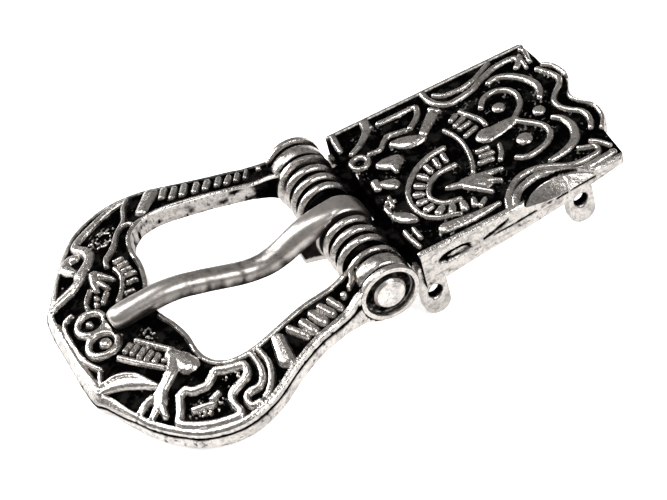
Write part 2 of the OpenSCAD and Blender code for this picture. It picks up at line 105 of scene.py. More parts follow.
@dataclass(frozen=True)
class Frame:
    """A frame that is turned about the y axis and moved inside another one."""

    tilt: float
    shift: float
    lift: float

    def place(self, points: np.ndarray) -> np.ndarray:
        """Turns points of this frame into the other one.

        Args:
            points: N rows of x, y, z in millimetres.

        Returns:
            N rows in millimetres.
        """
        s, c = math.sin(self.tilt), math.cos(self.tilt)
        x, y, z = points.T
        return np.stack([x * c - z * s + self.shift, y, x * s + z * c + self.lift], axis=1)


# The plate's frame in the model's: the buckle lies on its front eyes and on the muzzle of the loop
REST = Frame(math.radians(7.865), 5.55, 10.1186)
# The loop's frame in the plate's
LOOP_FRAME = Frame(math.radians(3.4), 0.0, 1.3)


def step(low: float, high: float, value: np.ndarray) -> np.ndarray:
    """Smooth step from 0 at low to 1 at high; high may be under low."""
    t = np.clip((np.asarray(value, float) - low) / (high - low), 0, 1)
    return t * t * (3 - 2 * t)


def clip01(value: np.ndarray) -> np.ndarray:
    """The value, kept between 0 and 1."""
    return np.clip(value, 0, 1)


def smooth(points: np.ndarray, steps: int) -> np.ndarray:
    """Puts a smooth curve through given points.

    Args:
        points: the points, one a row.
        steps: pieces to a span.

    Returns:
        The curve's points, one a row.
    """
    p = np.asarray(points, float)
    if len(p) < 3:
        return p
    first, last = np.maximum(np.arange(len(p) - 1) - 1, 0), np.minimum(np.arange(len(p) - 1) + 2, len(p) - 1)
    a, b, c, d = p[first], p[:-1], p[1:], p[last]
    rows = [
        0.5 * (2 * b + (c - a) * t + (2 * a - 5 * b + 4 * c - d) * t**2 + (3 * b - a - 3 * c + d) * t**3)
        for t in np.arange(steps) / steps
    ]
    return np.vstack([np.stack(rows, axis=1).reshape(-1, p.shape[1]), p[-1:]])


def run_along(points: np.ndarray) -> np.ndarray:
    """The way from a curve's first point to each of its points."""
    return np.concatenate([[0], np.cumsum(np.linalg.norm(np.diff(points, axis=0), axis=1))])


def headings(points: np.ndarray) -> np.ndarray:
    """The unit direction of a curve at each of its points."""
    ahead = np.gradient(points, axis=0)
    return ahead / np.linalg.norm(ahead, axis=1)[:, None]


def read_at(curve: np.ndarray, run: np.ndarray, count: int) -> np.ndarray:
    """Reads a curve at evenly spread places.

    Args:
        curve: its points, one a row.
        run: where each point lies, growing.
        count: how many places to read, the ends among them.

    Returns:
        The new points, one a row.
    """
    places = np.linspace(0, run[-1], count)
    return np.stack([np.interp(places, run, column) for column in curve.T], axis=1)


class Grain:
    """Smooth random unevenness of a casting, the same on each run."""

    # Cells of the square of random values, which repeats, and the cell that 0, 0 lies in
    SIZE = 97
    ORIGIN = 300.5
    # Size of a speck and of a patch of them
    SPECK, PATCH = 0.27, 1.6

    def __init__(self, seed: int) -> None:
        """Keeps a square of random values."""
        self.table = np.random.default_rng(seed).random((self.SIZE, self.SIZE))

    def __call__(self, x: np.ndarray, y: np.ndarray, cell: float) -> np.ndarray:
        """Reads the unevenness.

        Args:
            x: first coordinates.
            y: second coordinates.
            cell: size of one lump.

        Returns:
            Values from -1 to 1.
        """
        gx, gy = x / cell + self.ORIGIN, y / cell + self.ORIGIN
        ix, iy = np.floor(gx).astype(int), np.floor(gy).astype(int)
        fx, fy = step(0, 1, gx - ix), step(0, 1, gy - iy)
        left, right, low, high = (k % self.SIZE for k in (ix, ix + 1, iy, iy + 1))
        a, b = self.table[left, low], self.table[right, low]
        c, d = self.table[left, high], self.table[right, high]
        return 2 * ((a + (b - a) * fx) * (1 - fy) + (c + (d - c) * fx) * fy) - 1

    def cast(self, x: np.ndarray, y: np.ndarray, fine: float, coarse: float) -> np.ndarray:
        """Unevenness of a cast face, of fine and coarse lumps alike."""
        return self(x, y, fine) * 0.5 + self(y, x, coarse) * 0.5

    def grit(
        self, x: np.ndarray, y: np.ndarray, grains: tuple[float, float], patches: tuple[float, float]
    ) -> np.ndarray:
        """Bright specks that gather in patches.

        Args:
            x: first coordinates.
            y: second coordinates.
            grains: where a speck begins and where it is full.
            patches: where a patch of them begins and where it is full.

        Returns:
            Values from 0 to 1.
        """
        return step(*grains, self(x * 1.2, y, self.SPECK)) * step(*patches, self(y, x, self.PATCH))


GRAIN = Grain(7)


# ---------------------------------------------------------------- ornament


class Stroke(NamedTuple):
    """A raised ridge: its name, the widths of its ends, its centre line and what its middle adds to the width."""

    name: str
    start_w: float
    end_w: float
    path: tuple[tuple[float, float], ...]
    belly: float = 0.0


def bars(name: str, *rows: tuple[float, float, float, float, float, float]) -> tuple[Stroke, ...]:
    """Makes a numbered series of short straight ridges.

    Args:
        name: what each is called before its number.
        rows: the widths of its ends, then x and y of both ends.

    Returns:
        The ridges, in the order of their rows.
    """
    return tuple(
        Stroke(f"{name} {number}", start_w, end_w, ((x0, y0), (x1, y1)))
        for number, (start_w, end_w, x0, y0, x1, y1) in enumerate(rows, 1)
    )


class Boss(NamedTuple):
    """A round boss, or a ring where its hole isn't 0."""

    radius: float
    hole: float
    centre: tuple[float, float]


class Ornament:
    """Ridges and bosses that stand on a floor."""

    # What casting and wear add to each side of a ridge
    SWELL = 0.09
    # How far past a ridge's path its foot can reach, beyond its width
    REACH = 0.6
    # Where a ridge's side falls from full height to the floor, as ratios of its half width
    SIDE = (1.4, 0.8)
    # Where its crest rounds off, and by how much
    CREST, CREST_FALL = (0.35, 1.05), 0.26
    # The same for a boss, whose dome falls by a quarter from its middle
    BOSS_SIDE, BOSS_FALL = (1.15, 0.75), 0.25

    def __init__(self, strokes: tuple[Stroke, ...], bosses: tuple[Boss, ...]) -> None:
        """Keeps the ornament's tables."""
        self.strokes, self.bosses = strokes, bosses

    def profile(self, ratio: np.ndarray) -> np.ndarray:
        """Height over the floor, from 1 on the crest to 0, at a ratio of the half width."""
        return step(*self.SIDE, ratio) * (1 - self.CREST_FALL * step(*self.CREST, ratio))

    def ridge(self, x: np.ndarray, y: np.ndarray, stroke: Stroke) -> np.ndarray:
        """Height of one ridge over the floor.

        Args:
            x: first coordinates.
            y: second coordinates.
            stroke: the ridge.

        Returns:
            Values from 0 to 1.
        """
        path = smooth(np.array(stroke.path), 4)
        start, run = path[:-1], run_along(path)
        span = path[1:] - start
        length = np.linalg.norm(span, axis=1)
        rel = np.stack([x, y], axis=1)[:, None, :] - start[None]
        t = clip01((rel * span).sum(axis=2) / np.maximum(length**2, 1e-9))
        gap = np.linalg.norm(rel - t[..., None] * span, axis=2)
        share = (run[:-1] + t * length) / run[-1]
        middle = stroke.belly * 4 * share * (1 - share)
        half = 0.5 * (stroke.start_w + (stroke.end_w - stroke.start_w) * share + middle) + self.SWELL
        return self.profile((gap / half).min(axis=1))

    def boss(self, x: np.ndarray, y: np.ndarray, boss: Boss) -> np.ndarray:
        """Height of one boss or ring over the floor.

        Args:
            x: first coordinates.
            y: second coordinates.
            boss: the boss.

        Returns:
            Values from 0 to 1.
        """
        gap = np.hypot(x - boss.centre[0], y - boss.centre[1])
        if boss.hole:
            mid, half = (boss.radius + boss.hole) / 2, (boss.radius - boss.hole) / 2
            return self.profile(np.abs(gap - mid) / half)
        ratio = gap / boss.radius
        return step(*self.BOSS_SIDE, ratio) * (1 - self.BOSS_FALL * clip01(ratio) ** 2)

    def level(self, x: np.ndarray, y: np.ndarray) -> np.ndarray:
        """Height of the ornament over its floor, as a share of its full height.

        Args:
            x: first coordinates.
            y: second coordinates.

        Returns:
            Values from 0 to 1.
        """
        out = np.zeros(len(x))
        for stroke in self.strokes:
            path = np.array(stroke.path)
            reach = max(stroke.start_w, stroke.end_w) + stroke.belly + self.REACH
            low, high = path.min(axis=0) - reach, path.max(axis=0) + reach
            near = (x > low[0]) & (x < high[0]) & (y > low[1]) & (y < high[1])
            if near.any():
                out[near] = np.maximum(out[near], self.ridge(x[near], y[near], stroke))
        for boss in self.bosses:
            out = np.maximum(out, self.boss(x, y, boss))
        return out


PLATE_ORNAMENT = Ornament(
    strokes=(
        Stroke("far front edge", 0.7, 0.6, ((0.8, 12.7), (0.55, 11), (0.3, 9.3))),
        Stroke("far fork", 1.1, 0.45, ((5.2, 12.5), (4.8, 11), (3.9, 9.8), (2.6, 8.6), (1.2, 7.8))),
        Stroke("fork tip", 0.5, 0.3, ((4.8, 11), (5.5, 10.9))),
        Stroke("hook", 0.6, 0.6, ((6.5, 10.95), (9, 10.85), (11.5, 10.85), (11.5, 9.9), (10.8, 8.7), (9.3, 7.4))),
        Stroke("wave", 0.45, 0.6, ((3, 6.3), (4.4, 6.2), (5.3, 7.1), (6.3, 7.85), (7.3, 7.7), (8.6, 7.4))),
        Stroke("leaf", 0.9, 0.6, ((6.3, 6.1), (8.2, 5.2), (9.9, 4.7)), 1.2),
        Stroke("leaf tail", 1.0, 1.3, ((10.3, 5.6), (11.5, 6.8), (12.7, 8))),
        Stroke("tail tick", 0.5, 0.4, ((12.9, 9), (13.7, 7.9))),
        Stroke("lozenge front", 0.9, 1.9, ((3.2, 3.7), (4.4, 3.3), (5.1, 3.2)), 0.5),
        Stroke("lozenge side", 1.5, 0.5, ((4.8, 2.7), (4.4, 1.4))),
        Stroke("front tick", 0.9, 0.8, ((1.3, 1.2), (1.1, 0))),
        Stroke("triangle", 0.9, 1.5, ((2, 0.3), (3, -0.4)), 0.3),
        Stroke("front bead", 0.4, 0.4, ((1.5, -2.4), (1.2, -3.9))),
        Stroke("bead arm", 0.4, 0.3, ((0.9, -3), (1.8, -3.3))),
        Stroke("front drop", 1.0, 0.6, ((0.7, -5.7), (1.5, -6.6), (2.4, -7.7)), 0.7),
        Stroke("front spur", 0.8, 0.6, ((0.3, -4), (0.3, -4.9))),
        Stroke("near front edge", 0.4, 0.5, ((0.4, -8.8), (0.5, -10.3), (0.8, -11.8))),
        Stroke("front edge ridge", 0.4, 0.5, ((1.5, -9), (1.6, -10.6))),
        Stroke("near rim drop", 1.3, 0.35, ((4.7, -11), (6.5, -11.2), (9, -11.4), (12, -11.3)), 0.2),
        Stroke("horseshoe", 0.65, 0.35, ((10.9, 1.4), (9.3, 1.3), (7.6, 0.7), (6.2, -0.1), (4.7, -1.5),
            (3.65, -3.2), (3.2, -5.1), (3.3, -6.7), (3.8, -8.1), (5, -9.2), (6.4, -9.6), (7.4, -10.1))),
        Stroke("inner horseshoe", 0.5, 0.45, ((10.7, -2.2), (9.3, -2.2), (8, -2.4), (6.8, -3.2), (5.9, -4.4),
            (5.6, -5.6), (6.1, -6.8), (6.9, -7.5), (8.5, -7.9))),
        Stroke("horseshoe foot", 0.5, 0.4, ((10, -10.3), (10.9, -9.7))),
        Stroke("lip", 0.4, 0.45, ((12.5, 4.2), (13.1, 2.5), (13.3, 0.7), (13.1, -1.2), (12.6, -3.2), (11.9, -4.8))),
        Stroke("arm tip", 0.5, 1.0, ((8.1, -5.3), (10, -5.9))),
        Stroke("palm", 1.4, 2.6, ((10.2, -5.9), (12, -6.8))),
        Stroke("long finger", 1.0, 0.35, ((10.2, -5.6), (12.6, -5.9), (15, -6.45))),
        Stroke("middle finger", 1.0, 0.35, ((11.8, -6.5), (14, -8.1))),
        Stroke("short finger", 1.1, 0.4, ((10.2, -6.3), (11.1, -7.6), (12.2, -9.1))),
        Stroke("far strand", 0.7, 0.6, ((13.6, 12.6), (13.6, 11), (14, 9.65), (15, 8.5), (16.5, 8.4), (18.8, 8.9),
            (20.2, 9.7), (21.6, 10.4), (23, 11), (24.3, 11.2), (25.7, 11.2), (26.3, 10.7), (26.1, 9.8),
            (25.4, 9.1))),
        Stroke("far outer strand", 0.5, 0.5, ((14.6, 11.3), (15.4, 10.4), (16.6, 10.15), (18, 10.05), (19.2, 10.35),
            (20.6, 10.9), (21.8, 11.7), (23, 12.4))),
        Stroke("far corner", 0.5, 0.4, ((27.6, 12.2), (27.8, 11.5), (27.4, 9.8), (27.3, 9))),
        Stroke("far corner inner", 0.35, 0.35, ((26.8, 11), (26.4, 8.2))),
        Stroke("near outer strand", 0.8, 0.7, ((13.6, -12.6), (14.1, -11.6), (15, -10.8), (16.2, -10.35),
            (17.8, -10), (19.2, -10.35), (20.9, -11.35), (22.6, -12.1), (24.3, -12.2), (27.4, -11.9))),
        Stroke("near strand", 0.7, 0.45, ((12.6, -12.6), (13.1, -11.4), (14, -10.3), (15, -9.45), (16.2, -8.9),
            (17.8, -8.8), (19.2, -9.2), (20.6, -10), (21.9, -10.8), (23.3, -11.1), (24.7, -11.1), (25.9, -10.9),
            (26.2, -10.3), (25.9, -9.7), (25, -9.4), (24.3, -9))),
        Stroke("near corner", 0.5, 0.4, ((26.1, -8.8), (26.8, -9.5), (27.6, -10.8))),
        Stroke("far brow", 0.5, 0.55, ((21.1, 8.7), (22.1, 9), (23.3, 8.6), (24.3, 7.7), (25.2, 6.5), (25.7, 5.1),
            (25.8, 4.1), (25.4, 2.8), (25, 2.1)), 0.35),
        Stroke("far eye", 0.6, 0.55, ((18.2, 5.1), (19, 6.2), (20, 6.7), (21.2, 6.7), (22.3, 6), (22.9, 4.8),
            (22.8, 3.6), (22.3, 2.4), (21.2, 1.3), (20.7, 0.8))),
        Stroke("near brow", 0.5, 0.5, ((24.5, -2.2), (25.2, -3), (25.6, -4.3), (25.5, -5.6), (24.9, -7), (23.7, -8),
            (21.9, -8.6), (20.5, -8.8)), 0.45),
        Stroke("near eye", 0.6, 0.6, ((20.4, 0.4), (21.4, -0.8), (22.4, -2), (23, -3.2), (22.8, -4.6), (21.9, -5.6),
            (20.6, -6.2), (19, -6.5), (18.1, -6.3), (17.5, -5.8))),
        Stroke("nose", 2.1, 0.9, ((16.2, 0.1), (17.6, 0.15), (19, 0.3), (20.6, 0.5)), 0.3),
        Stroke("far cheek", 0.55, 0.5, ((15.7, 6), (16.5, 4.4), (17.1, 3.1), (17.2, 2))),
        Stroke("near cheek", 0.5, 0.55, ((16.8, -2.5), (16.3, -3.9), (15.7, -4.8))),
        *bars(
            "far bar", (0.5, 0.5, 14, 5.3, 14.9, 5.8), (0.5, 0.5, 14, 4.1, 15.5, 4.8),
            (0.45, 0.45, 14.2, 3.2, 15.7, 3.5), (0.45, 0.45, 14.2, 1.6, 15.9, 2.2),
        ),
        *bars(
            "near bar", (0.45, 0.45, 14, -1.9, 15.4, -2), (0.5, 0.5, 14, -2.9, 15.4, -3.1),
            (0.5, 0.5, 13.3, -3.9, 14.9, -4.1),
        ),
        *bars(
            "tooth", (0.6, 0.55, 10.3, 0.3, 10.2, -0.8), (0.6, 0.55, 9.1, 0.1, 9, -1.1),
            (0.65, 0.6, 7.7, -0.3, 7.8, -1.4), (0.75, 0.6, 6.3, -1.3, 6.8, -2.1),
            (0.75, 0.65, 5.2, -2.6, 5.8, -3.2), (0.75, 0.65, 4.4, -4, 5, -4.3), (0.75, 0.65, 4.1, -5.5, 4.8, -5.6),
            (0.75, 0.65, 4.3, -7, 5, -6.9), (0.8, 0.7, 5.3, -8.3, 5.9, -7.9), (0.8, 0.7, 6.7, -9.1, 7.1, -8.4),
            (0.85, 0.75, 8.2, -9.5, 8.4, -8.7), (0.7, 0.6, 9.5, -9.7, 9.7, -9),
        ),
        Stroke("crown", 0.55, 0.55, ((27.3, 7), (27.9, 5.9), (28.4, 4.8), (28.6, 3.7), (28, 2.6), (27.1, 1.8),
            (26.2, 0.7), (26, -0.3), (26.2, -1.3), (26.9, -2.4), (27.8, -3.4), (28.1, -4.6), (27.8, -5.8),
            (27.3, -6.7))),
        Stroke("crown edge", 0.45, 0.45, ((28.3, 7.4), (29.2, 6.4), (29.7, 4.5), (29.6, 3), (29, 1.5), (28.2, 0.3),
            (28.2, -0.8), (28.9, -2), (29.6, -3.1), (29.7, -4.4), (29.4, -6), (28.4, -7.5))),
    ),
    bosses=(
        Boss(1.45, 0.75, (1.3, 5.6)), Boss(0.5, 0, (6.2, 7.8)), Boss(0.32, 0, (10.2, 5.6)),
        Boss(0.3, 0, (11.1, 5.9)), Boss(0.32, 0, (11.8, 6.5)), Boss(0.9, 0, (19.95, 3.7)),
        Boss(1.1, 0, (19.8, -3.4)), Boss(1.35, 0, (16.3, 0.1)), Boss(0.9, 0, (23.7, 0)), Boss(0.8, 0, (4.9, -11)),
    ),
)

LOOP_ORNAMENT = Ornament(
    strokes=(
        Stroke("muzzle", 1.0, 1.0, ((-41.1, 5.2), (-41.2, 2), (-41.2, -2), (-40.9, -5.5), (-40.7, -8))),
        Stroke("lip", 0.4, 0.45, ((-38.9, 5.3), (-40.1, 4.9), (-40.5, 3), (-40.5, 0), (-40.3, -2.5), (-39.8, -4),
            (-39.2, -5.2))),
        Stroke("far strap", 0.45, 0.6, ((-40.4, 9), (-39.7, 9.3), (-37, 9.9), (-35.5, 10.8), (-34.6, 11.8))),
        Stroke("far strap lower", 0.5, 0.6, ((-40.6, 8.4), (-39.9, 8.6), (-37.5, 9), (-35.8, 10), (-34.8, 10.9))),
        Stroke("far strap bend", 1.3, 0.7, ((-35.6, 11.2), (-34.5, 11.9), (-33.6, 12.8), (-33.2, 14), (-33.4, 15.5),
            (-34, 16.7), (-34, 17.6), (-33, 18.5), (-31, 19.5), (-28.5, 20.6), (-26, 21))),
        Stroke("far comma", 1.1, 0.8, ((-34.9, 15.1), (-35.5, 15.5), (-36.4, 15), (-36.5, 14),
            (-35.9, 12.5)), 0.35),
        Stroke("far panel", 0.5, 0.5, ((-25.4, 20.8), (-26.4, 19.3), (-26.9, 17.5), (-27.3, 16.4), (-28, 15.5),
            (-29, 14.3), (-29.9, 12.7), (-31, 11.6), (-31.8, 10.9), (-32.1, 9.9))),
        Stroke("far panel branch", 0.4, 0.4, ((-28, 15.5), (-27, 15.2), (-26.6, 14.6))),
        Stroke("far arm", 0.4, 0.4, ((-35.5, 7.3), (-36.5, 5.9), (-36.8, 4.8))),
        Stroke("far arm inner", 0.4, 0.4, ((-33.8, 5.7), (-34.8, 4.4))),
        Stroke("far palm", 1.3, 0.9, ((-34, 9.5), (-34.4, 8.4))),
        Stroke("far first finger", 0.7, 0.5, ((-34.6, 8), (-34.7, 6.8))),
        Stroke("far second finger", 0.6, 0.5, ((-33.9, 7.8), (-33.4, 6.4))),
        Stroke("far thumb", 0.7, 0.4, ((-33.3, 8.9), (-32.3, 7.3))),
        Stroke("neck", 0.45, 0.4, ((-31.4, 8.7), (-31.2, 7.4), (-31.5, 6), (-32.2, 4.6), (-33.2, 3.3))),
        *bars(
            "neck bar", (0.35, 0.35, -31, 9.8, -30, 9.8), (0.35, 0.35, -30.8, 8.8, -29.8, 8.8),
            (0.35, 0.35, -30.7, 7.7, -29.8, 7.7), (0.35, 0.35, -30.6, 6.7, -29.6, 6.6),
            (0.35, 0.35, -30.9, 5.4, -29.9, 5.3), (0.35, 0.35, -31.8, 3.9, -30.9, 3.8),
        ),
        Stroke("near band outer", 0.6, 0.5, ((-36.6, -5.4), (-34.8, -7.8), (-32.8, -10.3))),
        Stroke("near band inner", 0.55, 0.6, ((-33.8, -4.2), (-32.4, -6.2), (-30.8, -8.5))),
        *bars(
            "band bar", (0.4, 0.4, -35.7, -4.95, -34.7, -4.3), (0.4, 0.4, -35.1, -5.8, -34.1, -5.1),
            (0.4, 0.4, -34.6, -6.8, -33.6, -6.1), (0.4, 0.4, -34, -7.8, -33, -7.1),
            (0.4, 0.4, -33.4, -8.8, -32.5, -8.1),
        ),
        Stroke("near leaf", 0.5, 0.4, ((-40.8, -7.9), (-39, -8.3), (-37.5, -9), (-36, -10.3), (-34.5, -12.2)), 1.0),
        Stroke("near horn", 0.45, 0.5, ((-39.5, -5.6), (-40, -7.2), (-38.3, -7.5), (-37, -8.2), (-35.9, -9.4),
            (-34.9, -11.5))),
        Stroke("knob", 1.5, 2.2, ((-31.2, -9), (-30.5, -10.4), (-30.1, -11.8))),
        Stroke("limb", 1.5, 1.0, ((-31.2, -9.9), (-32.2, -11.4), (-33.8, -12.6), (-35, -13.2))),
        Stroke("palm", 1.3, 1.5, ((-34.6, -13.2), (-35.3, -14.2))),
        Stroke("first claw", 0.8, 0.5, ((-35.8, -13.1), (-37, -13.3), (-37.9, -13.8))),
        Stroke("second claw", 0.8, 0.5, ((-35.6, -14.4), (-36.2, -14.8), (-37, -15.3))),
        Stroke("third claw", 0.8, 0.55, ((-35.3, -14.8), (-35.5, -16.1))),
        Stroke("bridge", 1.2, 1.2, ((-35.5, 1.7), (-35.4, 0), (-35.3, -1.4))),
        Stroke("near panel", 0.75, 0.85, ((-33, -15), (-32, -14.7), (-31.4, -15.3), (-30.5, -15.6), (-29.6, -15.7),
            (-28.7, -15.2), (-27.9, -14.7), (-26.8, -15.2), (-25.5, -15.6), (-24.7, -15.9), (-24.8, -16.9),
            (-25.5, -17.5), (-27, -18), (-27.8, -18.6), (-28, -19.6), (-27.8, -20.6), (-28, -21.2), (-29, -21.1),
            (-31, -20.5), (-33, -19.4), (-34.3, -18.3), (-34.5, -17.7), (-33.8, -16.7), (-33, -15))),
        Stroke("granule 1", 0.6, 0.45, ((-32.3, -17.6), (-31.2, -17.9), (-30, -18.3))),
        Stroke("granule 2", 0.45, 0.45, ((-30, -17.7), (-28.9, -17.4))),
        Stroke("hook", 0.6, 0.7, ((-23.3, -15.2), (-23.2, -17), (-23.6, -18.5), (-24.5, -19.3), (-25.8, -19.3),
            (-26.5, -20), (-26.3, -21), (-25.3, -21.1))),
        Stroke("outer hook", 0.6, 0.6, ((-22.3, -15.2), (-22.1, -17), (-22.5, -18.6), (-23.4, -20),
            (-24.5, -20.9))),
        Stroke("far drop", 1.5, 1.9, ((-24.6, 16.6), (-22.4, 19.6))),
        *bars(
            "far bar", (0.8, 0.8, -21.54, 17.22, -20.76, 18.78), (0.7, 0.7, -20.55, 16.01, -19.55, 17.79),
            (0.8, 0.8, -19.24, 15.51, -18.36, 17.29), (0.7, 0.7, -17.74, 14.93, -16.96, 16.37),
            (0.7, 0.7, -16.44, 14.54, -15.66, 15.86), (0.65, 0.65, -14.94, 14.14, -14.27, 15.36),
            (0.6, 0.6, -13.84, 13.64, -13.06, 14.86), (0.5, 0.5, -12.64, 13.44, -11.96, 14.66),
            (0.45, 0.4, -11.44, 13.24, -10.77, 14.56),
        ),
        Stroke("near drop", 1.4, 1.8, ((-19.7, -15), (-20.1, -17.8))),
        *bars(
            "near bar", (0.8, 0.8, -17.88, -14.46, -16.62, -16.14), (1.08, 1.08, -16.08, -14.5, -15.52, -15.9),
            (1.15, 1.15, -14.58, -13.92, -14.02, -15.17), (0.92, 0.92, -13.3, -13.42, -12.6, -14.67),
            (0.78, 0.78, -11.88, -13, -11.32, -14.4),
        ),
        Stroke("near fork", 0.4, 0.5, ((-9.2, -12.7), (-8.5, -12), (-8, -11), (-7.3, -10.2))),
    ),
    bosses=(
        Boss(2.25, 1.4, (-37.4, 2.1)), Boss(0.5, 0, (-37.6, 2.1)), Boss(2.35, 1.45, (-37.4, -1.9)),
        Boss(0.8, 0, (-37.1, -2)), Boss(0.4, 0, (-35.2, 5.6)), Boss(0.4, 0, (-35.6, 4.6)),
        Boss(0.3, 0, (-31.4, -18.7)), Boss(0.3, 0, (-30.8, -19)), Boss(0.4, 0, (-9.4, 13.5)),
        Boss(0.5, 0, (-10.2, -13.2)), Boss(0.35, 0, (-32.3, -9.4)),
    ),
)


# ---------------------------------------------------------------- meshes


class Surface:
    """Builds a piece's mesh from vertices in the plate's frame and their polish."""

    @staticmethod
    def clear() -> None:
        """Deselects every object."""
        bpy.ops.object.select_all(action="DESELECT")

    @staticmethod
    def make(name: str, points: np.ndarray, polish: np.ndarray, faces: list, angle: float = 50) -> bpy.types.Object:
        """Makes a piece.

        Args:
            name: the piece's name.
            points: its vertices in the plate's frame, in millimetres.
            polish: 0 in a blackened recess to 1 on a rubbed crest, with painted shade and highlights in places, one
                for each vertex.
            faces: the indices of each face's vertices.
            angle: edges sharper than this many degrees stay sharp.

        Returns:
            The piece, with outward faces.
        """
        mesh = bpy.data.meshes.new(name)
        mesh.from_pydata(MM * REST.place(points), [], faces)
        mesh.attributes.new("polish", "FLOAT", "POINT").data.foreach_set("value", np.asarray(polish, np.float32))
        piece = bpy.data.objects.new(name, mesh)
        bpy.context.scene.collection.objects.link(piece)
        Surface.clear()
        bpy.context.view_layer.objects.active = piece
        piece.select_set(True)
        bpy.ops.object.mode_set(mode="EDIT")
        bpy.ops.mesh.select_all(action="SELECT")
        bpy.ops.mesh.remove_doubles(threshold=0.002 * MM)
        bpy.ops.mesh.normals_make_consistent(inside=False)
        bpy.ops.object.mode_set(mode="OBJECT")
        bpy.ops.object.shade_smooth_by_angle(angle=math.radians(angle))
        Surface.clear()
        return piece

    @staticmethod
    def grid_faces(rows: int, columns: int, closed_rows: bool = False, closed_columns: bool = False) -> list:
        """Faces of a grid of rows by columns vertices, each row after the other.

        Args:
            rows: count of rows.
            columns: count of vertices in a row.
            closed_rows: the last row joins the first.
            closed_columns: each row is a ring.

        Returns:
            One list of four indices for each face.
        """
        i = np.arange(rows if closed_rows else rows - 1)[:, None]
        j = np.arange(columns if closed_columns else columns - 1)[None]
        a, b = i * columns, ((i + 1) % rows) * columns
        k = (j + 1) % columns
        return np.stack([a + j, a + k, b + k, b + j], axis=2).reshape(-1, 4).tolist()

    @staticmethod
    def rod_faces(rings: int, around: int) -> list:
        """Faces of a row of rings whose first and last are closed by a flat end.

        Args:
            rings: count of rings.
            around: count of vertices in a ring.

        Returns:
            The indices of each face's vertices.
        """
        last = (rings - 1) * around
        ends = [list(range(around)), [last + k for k in range(around)][::-1]]
        return Surface.grid_faces(rings, around, closed_columns=True) + ends


@dataclass
class Dresser:
    """Puts pieces on their bodies, in their slots and in their finishes."""

    finishes: dict[Slot, bpy.types.Material]

    def dress(self, piece: bpy.types.Object, body: Body, slot: Slot) -> None:
        """Finishes one piece.

        Args:
            piece: the piece, in place.
            body: the body that it rides on.
            slot: the slot that it takes its finish from.
        """
        piece.data.materials.clear()
        piece.data.materials.append(self.finishes[slot])
        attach(piece, body.value)
        LOG.info("%s: %d vertices, on %s", piece.name, len(piece.data.vertices), body.value)


# ---------------------------------------------------------------- plate


class Oval(NamedTuple):
    """An oval mark in the plate's walls: its middle, half sizes, slope, and where it is full."""

    x: float
    z: float
    half_x: float
    half_z: float
    slope: float
    full: float

    def level(self, x: np.ndarray, z: np.ndarray) -> np.ndarray:
        """1 within the mark, fading to 0 round it."""
        off_x, off_z = (x - self.x) / self.half_x, (z - self.z - (x - self.x) * self.slope) / self.half_z
        return step(1.25, self.full, np.hypot(off_x, off_z))


class Crease(NamedTuple):
    """A straight crease in the plate's walls: its ends, a point on it, its slope and how it fades beside it."""

    start: float
    end: float
    x: float
    z: float
    slope: float
    none: float
    full: float

    def level(self, x: np.ndarray, z: np.ndarray) -> np.ndarray:
        """1 within the crease, fading to 0 beside it."""
        off = np.abs(z - self.z - self.slope * (x - self.x))
        return step(self.none, self.full, off) * (x > self.start) * (x < self.end)


@dataclass(frozen=True)
class WallWearAndPaintedLight:
    """How polished the plate's walls are, and what each mark in them adds or takes off; the dark of the slot and the
    black front wall are painted shade, and the slot's lens is a painted highlight.
    """

    even: float = 0.78
    lens: float = 0.18
    slot: float = 0.76
    crease: float = 0.42
    pit: float = 0.4
    streak: float = 0.3
    front: float = 0.05
    rear: float = 0.55


